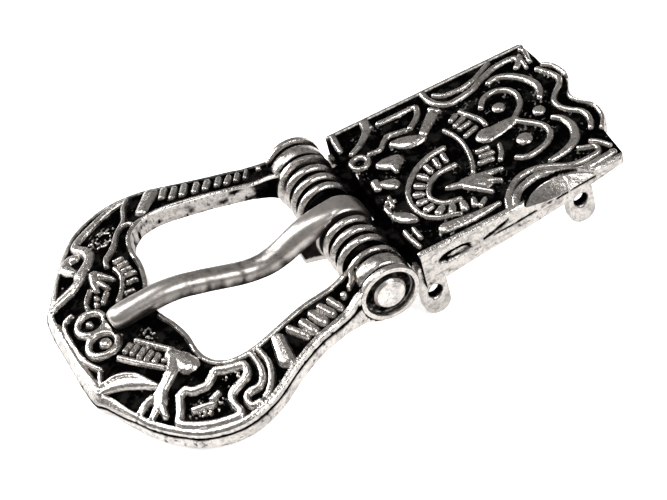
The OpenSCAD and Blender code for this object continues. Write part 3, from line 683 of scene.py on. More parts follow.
@dataclass
class Plate:
    """The cast plate with its masked relief."""

    length: float = 28.4
    half_w: float = 13.35
    rim_h: float = 0.45
    relief_h: float = 1.05
    rim_w: float = 0.7
    rim_soft: float = 0.12
    relief_depth: float = 0.62
    side_round: float = 0.16
    end_round: float = 0.12
    bay_x: float = 18.9
    bay_r: float = 4.95
    bay_out: float = 2.45
    shelf_z: float = -0.17
    shelf_fall: float = 0.28
    bowl_rise: float = 0.3
    # How much painted shade darkens the far rim
    far_rim_shade: float = 0.42
    slot_depth: float = 0.55
    crease_depth: float = 0.08
    pit_depth: float = 0.06
    foot_round: float = 0.03
    columns: int = 252
    rows: int = 246
    wall_rows: int = 28
    wear_and_painted_light: WallWearAndPaintedLight = WallWearAndPaintedLight()
    # Sizes of the face's fine and coarse lumps
    LUMPS = (0.34, 0.8)
    # Shares of the relief's height between which black turns to rubbed silver
    RUBBED = (0.1, 0.86)
    # Where the far rim begins across the plate, and where the bay's shelf runs out along it
    FAR_RIM, SHELF_END = (12.4, 12.7), (22, 23)
    # Bowls round the two eyes of the mask: x, y, outer and inner radius
    BOWLS = ((19.95, 3.7, 1.9, 1.2), (19.8, -3.4, 2.1, 1.3))
    # The underside: places along the plate, and its height there
    UNDER = ((-1, 0, 8, 14, 20, 23.5, 27, 31), (-5.15, -5.05, -3.95, -3.3, -2.45, -1.5, -0.8, -0.75))
    # The rear edge with the two lobes of the crown: distances from the middle, and its place there
    REAR = (
        (0, 0.6, 1.7, 2.9, 4.5, 6, 7.1, 7.8, 12.3, 13, 13.4),
        (28.2, 28.35, 28.8, 29.6, 30, 29.8, 29.2, 28.45, 28.4, 28.1, 27.5),
    )
    # The slot in the walls, painted dark as shade, and the lens in it, painted bright as a highlight on the slot's
    # lower wall
    SLOT = Oval(x=4.5, z=-1.775, half_x=2.1, half_z=0.72, slope=0.05, full=0.7)
    LENS = Oval(x=4.9, z=-2.048, half_x=1.3, half_z=0.2, slope=0.08, full=0.85)
    # The long broken crease of the walls, and the short one
    LONG_CREASE = Crease(start=8, end=24, x=8, z=-2.2, slope=0.1, none=0.2, full=0.08)
    SHORT_CREASE = Crease(start=8.3, end=12, x=8.5, z=-1.8, slope=0.33, none=0.34, full=0.12)

    def dome(self, y: np.ndarray) -> np.ndarray:
        """Height of the crests at a distance y from the middle."""
        return self.rim_h + (self.relief_h - self.rim_h) * (1 - clip01(np.abs(y) / self.half_w) ** 4)

    def into_bay(self, x: np.ndarray, y: np.ndarray) -> np.ndarray:
        """Distance into the round bay of the near side, negative outside it."""
        off = x - self.bay_x
        return self.bay_r - np.hypot(off * np.where(off > 0, 0.86, 0.94), y + self.half_w + self.bay_out)

    def under(self, x: np.ndarray) -> np.ndarray:
        """Height of the underside at x."""
        return np.interp(x, *self.UNDER)

    def rear(self, y: np.ndarray) -> np.ndarray:
        """Place of the rear edge at y."""
        return np.interp(np.abs(y), *self.REAR)

    def relief(self, x: np.ndarray, y: np.ndarray) -> tuple[np.ndarray, np.ndarray]:
        """Height and polish of the plate's face.

        Args:
            x: places along the plate.
            y: places across it.

        Returns:
            The heights and the polish.
        """
        inward = self.half_w - np.abs(y)
        rim = step(self.rim_w + self.rim_soft, self.rim_w - self.rim_soft, inward)
        rough = GRAIN.cast(x, y, *self.LUMPS)
        bowls = [step(outer, inner, np.hypot(x - bx, y - by)) for bx, by, outer, inner in self.BOWLS]
        share = np.maximum.reduce(
            [PLATE_ORNAMENT.level(x, y), rim, self.bowl_rise * np.maximum(*bowls), np.full(len(x), 0.02)]
        )
        # The floor is rougher than the ridges
        share = np.clip(share + rough * (0.04 + 0.1 * (share < 0.3)), 0, 1.05)
        top = self.dome(y)
        floor = top - self.relief_depth
        ends = self.end_round * step(0.22, 0, x) + self.end_round * step(0.3, 0, self.rear(y) - x)
        height = floor + (top - floor) * share - (self.side_round * step(0.28, 0, inward) + ends)
        grit = GRAIN.grit(x, y, (0.15, 0.85), (-0.25, 0.5))
        polish = np.maximum(step(*self.RUBBED, share + 0.05 * rough), 0.5 * grit)
        # Painted shade: the far rim lies in the shade of its own edge and is darkened
        polish = polish * (1 - self.far_rim_shade * step(*self.FAR_RIM, y))
        bay = self.into_bay(x, y)
        shelf_height = self.shelf_z - self.shelf_fall * bay + 0.025 * rough
        height = height + (shelf_height - height) * step(-0.1, 0.14, bay)
        shelf_polish = np.maximum(step(0.03, 0.15, bay), step(*self.SHELF_END, x)) * (1 - 0.3 * clip01(rough))
        polish = polish + (shelf_polish - polish) * step(-0.14, 0.0, bay)
        return height, polish

    def wall(
        self, x: np.ndarray, y: np.ndarray, z: np.ndarray, down: float, on_side: np.ndarray
    ) -> tuple[np.ndarray, np.ndarray]:
        """One level of the walls, with the slot, the creases and the pits of the two sides.

        Args:
            x: places along the face's edge.
            y: places across it.
            z: its heights.
            down: the level, from 0 at the face to 1 at the foot.
            on_side: which of the places lie on the two sides.

        Returns:
            The points and their polish.
        """
        z = z + (self.under(x) - z) * down
        pits = GRAIN(x + y * 0.7, z, 0.45) + 0.6 * GRAIN(z, x + y, 0.22)
        streak = clip01(GRAIN(x * 0.25, z, 0.32))
        slot, lens = self.SLOT.level(x, z), self.LENS.level(x, z)
        broken = step(-0.9, -0.2, GRAIN(x, x, 1.1))
        crease = np.maximum(self.LONG_CREASE.level(x, z) * broken, self.SHORT_CREASE.level(x, z))
        cut = self.slot_depth * slot + self.pit_depth * clip01(pits - 0.3) + self.crease_depth * crease
        dent = np.where(on_side, cut, self.foot_round) * (0 < down < 1)
        wear_and_painted_light = self.wear_and_painted_light
        # Painted light: the slot is painted dark as shade and its lens bright as a highlight; creases, pits and
        # streaks take off polish
        worn = wear_and_painted_light.even + wear_and_painted_light.lens * lens * slot - wear_and_painted_light.slot * slot * (1 - lens) - wear_and_painted_light.crease * crease
        worn = worn - wear_and_painted_light.pit * clip01(pits - 0.6) - wear_and_painted_light.streak * streak
        # The front wall, in the gap before the knuckles, is painted black as shade
        ends = np.where(x < 1, wear_and_painted_light.front, wear_and_painted_light.rear)
        return np.stack([x, y - np.sign(y) * dent, z], axis=1), np.where(on_side, worn, ends)

    def faces(self, ring: np.ndarray) -> list:
        """Joins the face, the walls and the underside.

        Args:
            ring: the vertices round the face's edge, from its front near corner.

        Returns:
            The indices of each face's vertices.
        """
        n, m, count = self.columns, self.rows, len(ring)
        faces = Surface.grid_faces(m, n)
        last = ring
        for k in range(self.wall_rows):
            lower = m * n + k * count + np.arange(count)
            faces += np.stack([last, lower, np.roll(lower, -1), np.roll(last, -1)], axis=1).tolist()
            last = lower
        far = last[n - 1:n + m - 1]
        near = np.append(last[2 * (n - 1) + m - 1:], last[0])[::-1]
        faces += np.stack([near[1:-2], near[2:-1], far[2:-1], far[1:-2]], axis=1).tolist()
        faces.append([int(v) for v in [*last[:n], far[1], near[1]]])
        faces.append([int(v) for v in [*last[n + m - 2:2 * n + m - 2], near[-2], far[-2]]])
        return faces

    def casting(self) -> bpy.types.Object:
        """Builds the slab with its relief and its walls.

        Returns:
            The piece.
        """
        n, m = self.columns, self.rows
        u, s = np.meshgrid(np.linspace(0, 1, m), np.linspace(-1, 1, n), indexing="ij")
        y = s.ravel() * self.half_w
        x = (u * self.length).ravel() + (self.rear(y) - self.length) * step(0.8, 1, u.ravel())
        z, polish = self.relief(x, y)
        index = np.arange(m * n).reshape(m, n)
        ring = np.concatenate([index[0, :-1], index[:-1, -1], index[-1, :0:-1], index[:0:-1, 0]])
        on_side = np.zeros(len(ring), bool)
        on_side[n - 1:n + m - 2] = True
        on_side[2 * n + m - 3:] = True
        points, shine = [np.stack([x, y, z], axis=1)], [polish]
        for k in range(1, self.wall_rows + 1):
            row, worn = self.wall(x[ring], y[ring], z[ring], k / self.wall_rows, on_side)
            points.append(row)
            shine.append(worn)
        return Surface.make("plate_casting", np.vstack(points), np.concatenate(shine), self.faces(ring))


# ---------------------------------------------------------------- revolved pieces on the hinge


@dataclass
class Hinge:
    """Everything that is round about the hinge's axis."""

    x: float = -4.9
    z: float = -2.0
    bore: float = 1.31
    around: int = 96
    roughness: float = 0.04
    lump: float = 0.7
    core_r: float = 2.6
    ring_r: float = 2.95
    ring_half: float = 0.62
    ring_swell: float = 1.1
    ring_pitch: float = 2.0
    collar_h: float = 0.3
    # Start and end of each knuckle, and the middle of its first ring
    KNUCKLES = {Side.FAR: (3.3, 9.3, 4.2), Side.NEAR: (2.4, 9, 3.2)}
    # Distance from the middle and radius of a lug's outline, from the bore round to the bore
    LUG = (
        (9.6, 1.31), (9.6, 3.6), (9.75, 3.82), (10.15, 3.85), (10.35, 3.7), (10.42, 3.25), (10.85, 3.25),
        (10.95, 3.55), (11.3, 3.74), (12.0, 3.8), (12.7, 3.72), (12.98, 3.5), (13.06, 3.3), (13.5, 3.3),
        (13.6, 3.72), (13.75, 3.88), (14.25, 3.9), (14.45, 3.78), (14.5, 3.55), (14.45, 3.25), (14.2, 3.12),
        (13.75, 3.08), (13.7, 2.9), (13.7, 1.31),
    )
    # The middles of a lug's two black grooves, and how wide the black of the inner one spreads on each side
    GROOVES = (10.63, 13.28)
    GROOVE_SPREAD = {Side.FAR: 0.62, Side.NEAR: 0.36}

    def revolve(
        self, name: str, profile: np.ndarray, shade: Callable[[np.ndarray, np.ndarray], np.ndarray], pit: float
    ) -> bpy.types.Object:
        """Turns a closed profile of y and radius about the axis.

        Args:
            name: the piece's name.
            profile: rows of y and radius, a closed ring of points.
            shade: gives the polish from y and radius.
            pit: depth of the casting's unevenness.

        Returns:
            The piece.
        """
        turn = np.linspace(0, 2 * math.pi, self.around, endpoint=False)
        y = np.tile(profile[:, 0], self.around)
        r = np.tile(profile[:, 1], self.around)
        a = np.repeat(turn, len(profile))
        # The cosine and the sine let the unevenness fade out where the turn closes
        uneven = GRAIN(a * 3.5 * np.abs(np.cos(a / 2)), y, self.lump) * np.abs(np.sin(a / 2))
        r = np.where(r > self.bore + 0.05, r + pit * uneven, r)
        points = np.stack([self.x + r * np.cos(a), y, self.z + r * np.sin(a)], axis=1)
        faces = Surface.grid_faces(self.around, len(profile), closed_rows=True, closed_columns=True)
        return Surface.make(name, points, clip01(shade(y, r) + 0.06 * uneven), faces, 40)

    def knuckle(self, side: Side) -> bpy.types.Object:
        """Builds the plate's ringed knuckle on one side of the tongue.

        Args:
            side: the side that it stands on.

        Returns:
            The piece.
        """
        start, end, first = self.KNUCKLES[side]
        y = np.linspace(start, end, 100)
        r = np.full(len(y), self.core_r)
        for mid in (first, first + self.ring_pitch, first + 2 * self.ring_pitch):
            bulge = np.sqrt(np.clip(self.ring_half**2 - (y - mid) ** 2, 0, None))
            r = np.maximum(r, self.ring_r + self.ring_swell * bulge)
        r = np.maximum(r, self.core_r + self.collar_h * step(end - 0.4, end - 0.15, y))
        profile = np.vstack([np.stack([y, r], axis=1), [[end, self.bore], [start, self.bore]]])
        profile[:, 0] *= side.value
        return self.revolve(f"knuckle_{side.word}", profile, lambda _, q: step(3.05, 3.4, q), self.roughness)

    def lug(self, side: Side) -> bpy.types.Object:
        """Builds the loop's flanged lug with the recess for the rivet's head.

        Args:
            side: the side that it stands on.

        Returns:
            The piece.
        """
        inner, outer = self.GROOVES
        spread = self.GROOVE_SPREAD[side]

        def shade(y: np.ndarray, r: np.ndarray) -> np.ndarray:
            """Bright bands, black grooves and a dark recess.

            Args:
                y: places across the belt.
                r: distances from the axis.

            Returns:
                The polish.
            """
            off = np.abs(y)
            black_inner = step(spread, 0.2, np.abs(off - inner)) * (r < 3.7)
            black_outer = step(0.36, 0.2, np.abs(off - outer)) * (r < 3.5)
            recess = step(3.2, 3.0, r) * step(13.4, 13.6, off)
            return 1 - np.maximum(0.95 * np.maximum(black_inner, black_outer), 0.7 * recess)

        return self.revolve(f"lug_{side.word}", np.array(self.LUG) * [side.value, 1], shade, self.roughness)


HINGE = Hinge()


# ---------------------------------------------------------------- loop


class Band(NamedTuple):
    """The loop's band, one row a section: its edges, the way outwards, the way along it and its depth."""

    outer: np.ndarray
    inner: np.ndarray
    outward: np.ndarray
    run: np.ndarray
    depth: np.ndarray


@dataclass(frozen=True)
class LoopWearAndShade:
    """What the places of the loop take off its polish, with painted shade on the far side and where the far arm meets
    its lug.
    """

    far_rim: float = 0.42
    far_arm: float = 0.32
    seat: float = 0.75
    far_top_shade: float = 0.75
    far_root: float = 0.85
    far_inner_shade: float = 0.24
    outer: float = 0.12
    muzzle: float = 0.12
    pit: float = 0.5
    blotch: float = 0.25
    far_blotch: float = 0.3
    underside: float = 0.4


@dataclass
class Loop:
    """The cast loop with its mask, its two arms and the seat for the tongue."""

    mid_x: float = -24
    flat_r: float = 14.5
    crest: float = 0.45
    fall: float = 0.27
    floor: float = 0.5
    ridge: float = 0.28
    thickness: float = 2.6
    arm_thickening: float = 2.2
    rim_w: float = 0.75
    inner_rim_w: float = 0.62
    rim_foot: float = 0.12
    rim_shoulder: float = 0.1
    seat_x: float = -35.5
    seat_half: float = 1.85
    seat_z: float = -1.25
    lug_inner_r: float = 3.35
    lug_outer_r: float = 3.86
    lug_side: float = 13.45
    lug_rise: float = 0.7
    near_swell: float = 0.5
    swell_x: float = -37.2
    swell_reach: float = 2.4
    muzzle_bulge: float = 0.5
    side_round: float = 0.2
    inner_round: float = 0.16
    pit_depth: float = 0.07
    columns: int = 96
    rows: int = 760
    wear_and_painted_light: LoopWearAndShade = LoopWearAndShade()
    # Sizes of the face's fine and coarse lumps
    LUMPS = (0.36, 0.85)
    # Shares of the relief's height between which black turns to rubbed silver
    RUBBED = (0.06, 0.64)
    # Which way the near muzzle swells
    SWELL_WAY = (-0.78, -0.62)
    # Places along the belt: where the arms thicken, where they rise into the lugs, where the muzzle's wall
    # bulges, where that wall is duller, and where the painted shade on the far arm and on its root by the lug begins
    THICKENING, RISE, BULGE, MUZZLE = (-13, -7), (-11.5, -8), (-38.2, -40.6), (-34, -38)
    FAR_ARM, FAR_ROOT = (-25, -22), (-12, -10)
    # Outer and inner points of the far half's cross-sections, from the lug to the muzzle
    SECTIONS = (
        ((-6, 14.4), (-6, 9.8)), ((-8.6, 14.6), (-7.9, 10.15)), ((-10.4, 15.5), (-9.7, 10.7)),
        ((-12.5, 16.4), (-12.3, 11.35)),
        ((-15, 17.2), (-15, 12)), ((-17.5, 18.3), (-17.5, 12.8)), ((-20, 19.6), (-20, 13.6)),
        ((-22, 20.8), (-22.2, 14.25)), ((-24, 21.7), (-24, 14.5)), ((-27, 22.4), (-25.7, 14.3)),
        ((-30, 22.1), (-26.7, 13.7)), ((-33, 20.8), (-27.4, 13.0)), ((-35, 18.8), (-27.9, 12)),
        ((-37, 16), (-28.15, 11)), ((-39, 12.6), (-28.25, 9.6)), ((-40.3, 9.8), (-28.2, 8)),
        ((-41.3, 8.2), (-28.35, 6.5)), ((-41.6, 5), (-28.85, 4.2)), ((-41.6, 2.5), (-29.5, 2.3)),
        ((-41.6, 0), (-29.8, 0)),
    )
    # Levels of the walls from the face down: share of the depth, dent and polish
    OUTER_WALL = (
        (0.16, 0.0, 0.95), (0.24, 0.0, 0.9), (0.3, 0.05, 0.5), (0.34, 0.12, 0.12), (0.4, 0.12, 0.12),
        (0.44, 0.03, 0.7), (0.52, 0, 0.9), (0.6, 0, 0.95), (0.68, 0, 0.95), (0.76, 0, 0.95), (0.84, 0, 0.95),
        (0.92, 0, 0.92), (0.97, 0.03, 0.9), (1.0, 0.12, 0.8),
    )
    INNER_WALL = (
        (0.14, 0, 0.9), (0.26, 0, 0.9), (0.38, 0, 0.88), (0.5, 0, 0.88), (0.62, 0, 0.88), (0.74, 0, 0.85),
        (0.86, 0, 0.85), (0.96, 0.02, 0.8), (1.0, 0.1, 0.7),
    )
    # Granulated patches: centre, reach along the belt and across it
    PATCHES = ((-30.6, 15.8, 2.4, 2.4), (-30.8, -18, 2.6, 1.5), (-27, -16.6, 1.8, 0.8), (-32.5, -4.5, 1.4, 2.2))

    def band(self) -> Band:
        """Works out the band's edges, with the swelling of the near muzzle.

        Returns:
            The band.
        """
        half = np.array(self.SECTIONS, float).reshape(-1, 4)
        other = half[-2::-1] * [1, -1, 1, -1]
        swell = self.near_swell * np.exp(-(((other[:, :1] - self.swell_x) / self.swell_reach) ** 2))
        other[:, :2] += swell * np.array(self.SWELL_WAY)
        curve = smooth(np.vstack([half, other]), 12)
        run, outer_run = run_along((curve[:, :2] + curve[:, 2:]) / 2), run_along(curve[:, :2])
        even = read_at(curve, 0.5 * run / run[-1] + 0.5 * outer_run / outer_run[-1], self.rows)
        outer, inner = even[:, :2], even[:, 2:]
        outward = (outer - inner) / np.linalg.norm(outer - inner, axis=1)[:, None]
        depth = self.thickness + (self.arm_thickening + self.lug_rise) * step(*self.THICKENING, outer[:, 0]) ** 1.5
        return Band(outer, inner, outward, run_along(outer), depth)

    def top(self, x: np.ndarray, y: np.ndarray) -> np.ndarray:
        """Height of the rim's surface in the loop's frame; the arms rise into their lugs."""
        slope = self.fall * np.clip(np.hypot(x - self.mid_x, y) - self.flat_r, 0, None)
        return self.crest - slope + self.lug_rise * step(*self.RISE, x)

    def relief(self, x: np.ndarray, y: np.ndarray, out: np.ndarray, inn: np.ndarray) -> tuple[np.ndarray, np.ndarray]:
        """Height and polish of the loop's face.

        Args:
            x: places along the belt.
            y: places across it.
            out: distances to the outer edge.
            inn: distances to the inner edge.

        Returns:
            The heights over the rim's surface and the polish.
        """
        rim = step(self.rim_w + self.rim_foot, self.rim_w - self.rim_shoulder, out)
        inner = step(self.inner_rim_w + self.rim_foot, self.inner_rim_w - self.rim_shoulder, inn)
        rough = GRAIN.cast(x, y, *self.LUMPS)
        scale = self.floor + self.ridge
        share = np.maximum.reduce([LOOP_ORNAMENT.level(x, y), rim * self.floor / scale, inner * self.floor / scale])
        lumps = step(-0.05, 0.6, GRAIN(x * 1.1, y, 0.3))
        for cx, cy, rx, ry in self.PATCHES:
            patch = step(1.1, 0.8, np.hypot((x - cx) / rx, (y - cy) / ry))
            share = np.maximum(share, 0.48 * (patch * lumps))
        # The floor is rougher than the ridges
        share = np.clip(share + rough * (0.03 + 0.12 * (share < 0.3)), 0, 1.05)
        height = share * scale - self.floor
        height = height - (self.side_round * step(0.3, 0, out) + self.inner_round * step(0.28, 0, inn))
        # Painted shade darkens the far outer rim and the far arm's relief
        far_rim = step(7, 11, y) * step(1, 0.7, out)
        far_arm = step(*self.FAR_ARM, x) * step(11, 12.5, y)
        grit = GRAIN.grit(x, y, (0.35, 0.9), (0, 0.6))
        polish = np.maximum(step(*self.RUBBED, share + 0.05 * rough), 0.45 * grit)
        return height, polish * (1 - self.wear_and_painted_light.far_rim * far_rim) * (1 - self.wear_and_painted_light.far_arm * far_arm)

    def face(self, band: Band) -> tuple[np.ndarray, np.ndarray]:
        """Builds the relief between the two edges, with the tongue's seat cut into it.

        Args:
            band: the band.

        Returns:
            The points, a row a section, and their polish.
        """
        v = np.linspace(0, 1, self.columns)
        x = band.outer[:, :1] + (band.inner[:, :1] - band.outer[:, :1]) * v
        y = band.outer[:, 1:] + (band.inner[:, 1:] - band.outer[:, 1:]) * v
        gaps = []
        for edge in (band.outer, band.inner):
            along = headings(edge)
            gaps.append(np.abs((x - edge[:, :1]) * along[:, 1:] - (y - edge[:, 1:]) * along[:, :1]).ravel())
        x, y = x.ravel(), y.ravel()
        height, polish = self.relief(x, y, *gaps)
        z = self.top(x, y) + height
        # The seat is level in the plate's frame
        seat_low = self.seat_z - LOOP_FRAME.lift - x * math.sin(LOOP_FRAME.tilt)
        across = step(self.seat_half + 0.12, self.seat_half - 0.12, np.abs(y))
        in_seat = across * step(self.seat_x - 0.15, self.seat_x + 0.1, x)
        z = np.where(in_seat > 0, z + (np.minimum(z, seat_low) - z) * in_seat, z)
        polish = polish * (1 - self.wear_and_painted_light.seat * in_seat)
        shape = (self.rows, self.columns)
        return np.stack([x, y, z], axis=1).reshape(*shape, 3), polish.reshape(shape)

    def wall(self, band: Band, is_outer: bool) -> tuple[np.ndarray, np.ndarray]:
        """Builds one wall of the band from the face down.

        Args:
            band: the band.
            is_outer: the outer wall, otherwise the inner one.

        Returns:
            The points, a row a section, and their polish.
        """
        edge = band.outer if is_outer else band.inner
        x, y = edge.T
        base, wear_and_painted_light = self.top(x, y), self.wear_and_painted_light
        points, shades = [], []
        for down, dent, bright in self.OUTER_WALL if is_outer else self.INNER_WALL:
            z = base - down * band.depth
            pits = GRAIN(band.run, z, 0.5) + 0.6 * GRAIN(z, band.run, 0.24)
            cut = dent + self.pit_depth * clip01(pits - 0.2) * (0.1 < down < 0.97)
            if is_outer:
                cut = cut - self.muzzle_bulge * math.sin(math.pi * down**0.8) * step(*self.BULGE, x)
                far = 0
                # Painted shade darkens the upper part of the far outer wall
                dark = wear_and_painted_light.far_top_shade * step(2, 14, y) * step(-9, -13, x) * step(0.6, 0.4, down)
                dark = dark + (wear_and_painted_light.outer + wear_and_painted_light.muzzle * step(*self.MUZZLE, x))
            else:
                far = step(4, 8, y) * (down < 0.98)
                # Painted shade darkens the far inner wall, most of all by the lug; the blotches are stains
                dark = wear_and_painted_light.far_root * step(*self.FAR_ROOT, x) * (y > 0) * (down < 0.98) + wear_and_painted_light.far_inner_shade * far
            place = edge - (band.outward if is_outer else -band.outward) * cut[:, None]
            points.append(np.stack([place[:, 0], place[:, 1], z], axis=1))
            blotch = (wear_and_painted_light.blotch + wear_and_painted_light.far_blotch * far) * clip01(GRAIN(band.run * 0.6, z, 0.9))
            shades.append(clip01(bright - wear_and_painted_light.pit * clip01(pits - 0.5) - dark - blotch))
        return np.stack(points, axis=1), np.stack(shades, axis=1)

    def fit_lugs(self, points: np.ndarray) -> np.ndarray:
        """Keeps the arms' ends out of the lugs' bores and behind their flanges.

        Args:
            points: the loop's points in the plate's frame.

        Returns:
            The points, moved where they have to.
        """
        off_x, off_z = points[:, 0] - HINGE.x, points[:, 2] - HINGE.z
        reach = np.hypot(off_x, off_z)
        push = np.where(reach < self.lug_inner_r, self.lug_inner_r / np.maximum(reach, 0.01), 1)
        side = np.where(reach < self.lug_outer_r, self.lug_side, np.inf)
        return np.stack([HINGE.x + off_x * push, np.clip(points[:, 1], -side, side), HINGE.z + off_z * push], axis=1)

    def casting(self) -> bpy.types.Object:
        """Builds the band with its relief, its walls and its underside.

        Returns:
            The piece.
        """
        band = self.band()
        top, shine = self.face(band)
        inner, inner_shade = self.wall(band, is_outer=False)
        outer, outer_shade = self.wall(band, is_outer=True)
        lower_in, lower_out = inner[:, -1:], outer[:, -1:]
        bottom = [lower_in + (lower_out - lower_in) * share for share in (0.33, 0.67)]
        rings = np.concatenate([top, inner, *bottom, outer[:, ::-1]], axis=1)
        under = np.full((self.rows, len(bottom)), 1 - self.wear_and_painted_light.underside)
        shades = np.concatenate([shine, inner_shade, under, outer_shade[:, ::-1]], axis=1)
        points = self.fit_lugs(LOOP_FRAME.place(rings.reshape(-1, 3)))
        return Surface.make("loop_casting", points, shades.ravel(), Surface.rod_faces(*rings.shape[:2]))


# ---------------------------------------------------------------- eyes and webs


@dataclass
class SewingEye:
    """One holed tab under the plate."""

    row: EyeRow
    side: Side
    width: float = 3.5
    thickness: float = 1.6
    hole_r: float = 0.95
    hole_up: float = 3.6
    y: float = 12
    root_z: float = -2
    pit_depth: float = 0.04
    around: int = 96
    # Round the tab's wall from the bore: share of the way from the hole to the rim, share of the half
    # thickness and polish; the dark polish in the bore is painted shade
    SECTION = (
        (0.0, 0, 0.08), (0.0, -0.625, 0.35), (0.06, -0.9, 0.8), (0.2, -1, 0.9), (0.5, -1, 0.95), (0.8, -1, 0.95),
        (0.94, -0.975, 0.95), (1.0, -0.775, 0.95), (1.0, 0, 0.95), (1.0, 0.775, 0.95), (0.94, 0.975, 0.95),
        (0.8, 1, 0.95), (0.5, 1, 0.95), (0.2, 1, 0.9), (0.06, 0.9, 0.8), (0.0, 0.625, 0.1),
    )

    def rim(self, dx: np.ndarray, dz: np.ndarray, hole_z: float, tip_z: float) -> np.ndarray:
        """Distance from the hole's middle to the tab's rim: straight sides, a root and a round end.

        Args:
            dx: x of each direction.
            dz: z of each direction.
            hole_z: height of the hole's middle.
            tip_z: height of the tab's lowest point.

        Returns:
            One distance for each direction.
        """
        half = self.width / 2
        tip = hole_z - tip_z - half
        side = half / np.maximum(np.abs(dx), 1e-6)
        root = np.where(dz > 0, (self.root_z - hole_z) / np.maximum(dz, 1e-6), np.inf)
        low = -dz * tip + np.sqrt(np.clip(half**2 - (dx * tip) ** 2, 0, None))
        end = np.where((dz < 0) & (side * dz < -tip), low, np.inf)
        return np.minimum(np.minimum(side, root), end)

    def build(self) -> bpy.types.Object:
        """Builds the tab as a ring of sections round its hole.

        Returns:
            The piece.
        """
        a = np.linspace(0, 2 * math.pi, self.around, endpoint=False)
        dx, dz = np.cos(a), np.sin(a)
        mid_x, tip_z = self.row.value
        hole_z = tip_z + self.hole_up
        reach = self.rim(dx, dz, hole_z, tip_z)
        points, polish = [], []
        for share, off, bright in self.SECTION:
            r = self.hole_r + (reach - self.hole_r) * share
            x, z = mid_x + r * dx, hole_z + r * dz
            off = off * self.thickness / 2
            pits = GRAIN(x * 1.3, z + off, 0.5)
            y = self.side.value * self.y + off - self.pit_depth * clip01(pits) * np.sign(off)
            points.append(np.stack([x, y, z], axis=1))
            polish.append(clip01(bright - 0.3 * clip01(pits - 0.6)))
        faces = Surface.grid_faces(len(self.SECTION), self.around, closed_rows=True, closed_columns=True)
        name = f"sewing_eye_{self.side.word}_{self.row.name.lower()}"
        return Surface.make(name, np.vstack(points), np.concatenate(polish), faces)


@dataclass
class KnuckleWeb:
    """The block that joins one knuckle to the plate."""

    side: Side
    length: float = 5.2
    low_z: float = -4.25
    height: float = 3.1
    soft_edge: float = 0.25
    # The block is painted black as shade, in the gap between the plate and its knuckle
    polish: float = 0.04
    # Distance from the middle at which each block begins, and its width
    ACROSS = {Side.NEAR: (2.45, 6.5), Side.FAR: (3.35, 5.9)}

    def build(self) -> bpy.types.Object:
        """Builds the block from a cube with soft edges.

        Returns:
            The piece.
        """
        Surface.clear()
        # Nothing reads a UV map here, and bevelling one gives it other last digits on each run
        bpy.ops.mesh.primitive_cube_add(size=1, calc_uvs=False)
        web = bpy.context.object
        web.name = f"knuckle_web_{self.side.word}"
        start, width = self.ACROSS[self.side]
        low, size = np.array([HINGE.x, start, self.low_z]), np.array([self.length, width, self.height])
        points = low + (np.array([v.co for v in web.data.vertices]) + 0.5) * size
        points[:, 1] *= self.side.value
        web.data.vertices.foreach_set("co", (MM * REST.place(points)).ravel())
        bpy.ops.object.mode_set(mode="EDIT")
        bpy.ops.mesh.select_all(action="SELECT")
        bpy.ops.mesh.bevel(offset=self.soft_edge * MM, segments=2)
        bpy.ops.mesh.normals_make_consistent(inside=False)
        bpy.ops.object.mode_set(mode="OBJECT")
        shine = web.data.attributes.new("polish", "FLOAT", "POINT")
        shine.data.foreach_set("value", np.full(len(web.data.vertices), self.polish, np.float32))
        return web


# ---------------------------------------------------------------- tongue


@dataclass(frozen=True)
class BarWearAndShade:
    """How polished the tongue's bar is, with its scuffs, and the painted shade on its lower flanks and between its
    bends.
    """

    even: float = 0.86
    scuff: float = 0.14
    fine_scuff: float = 0.12
    flank_shade: float = 0.52
    middle: float = 0.26


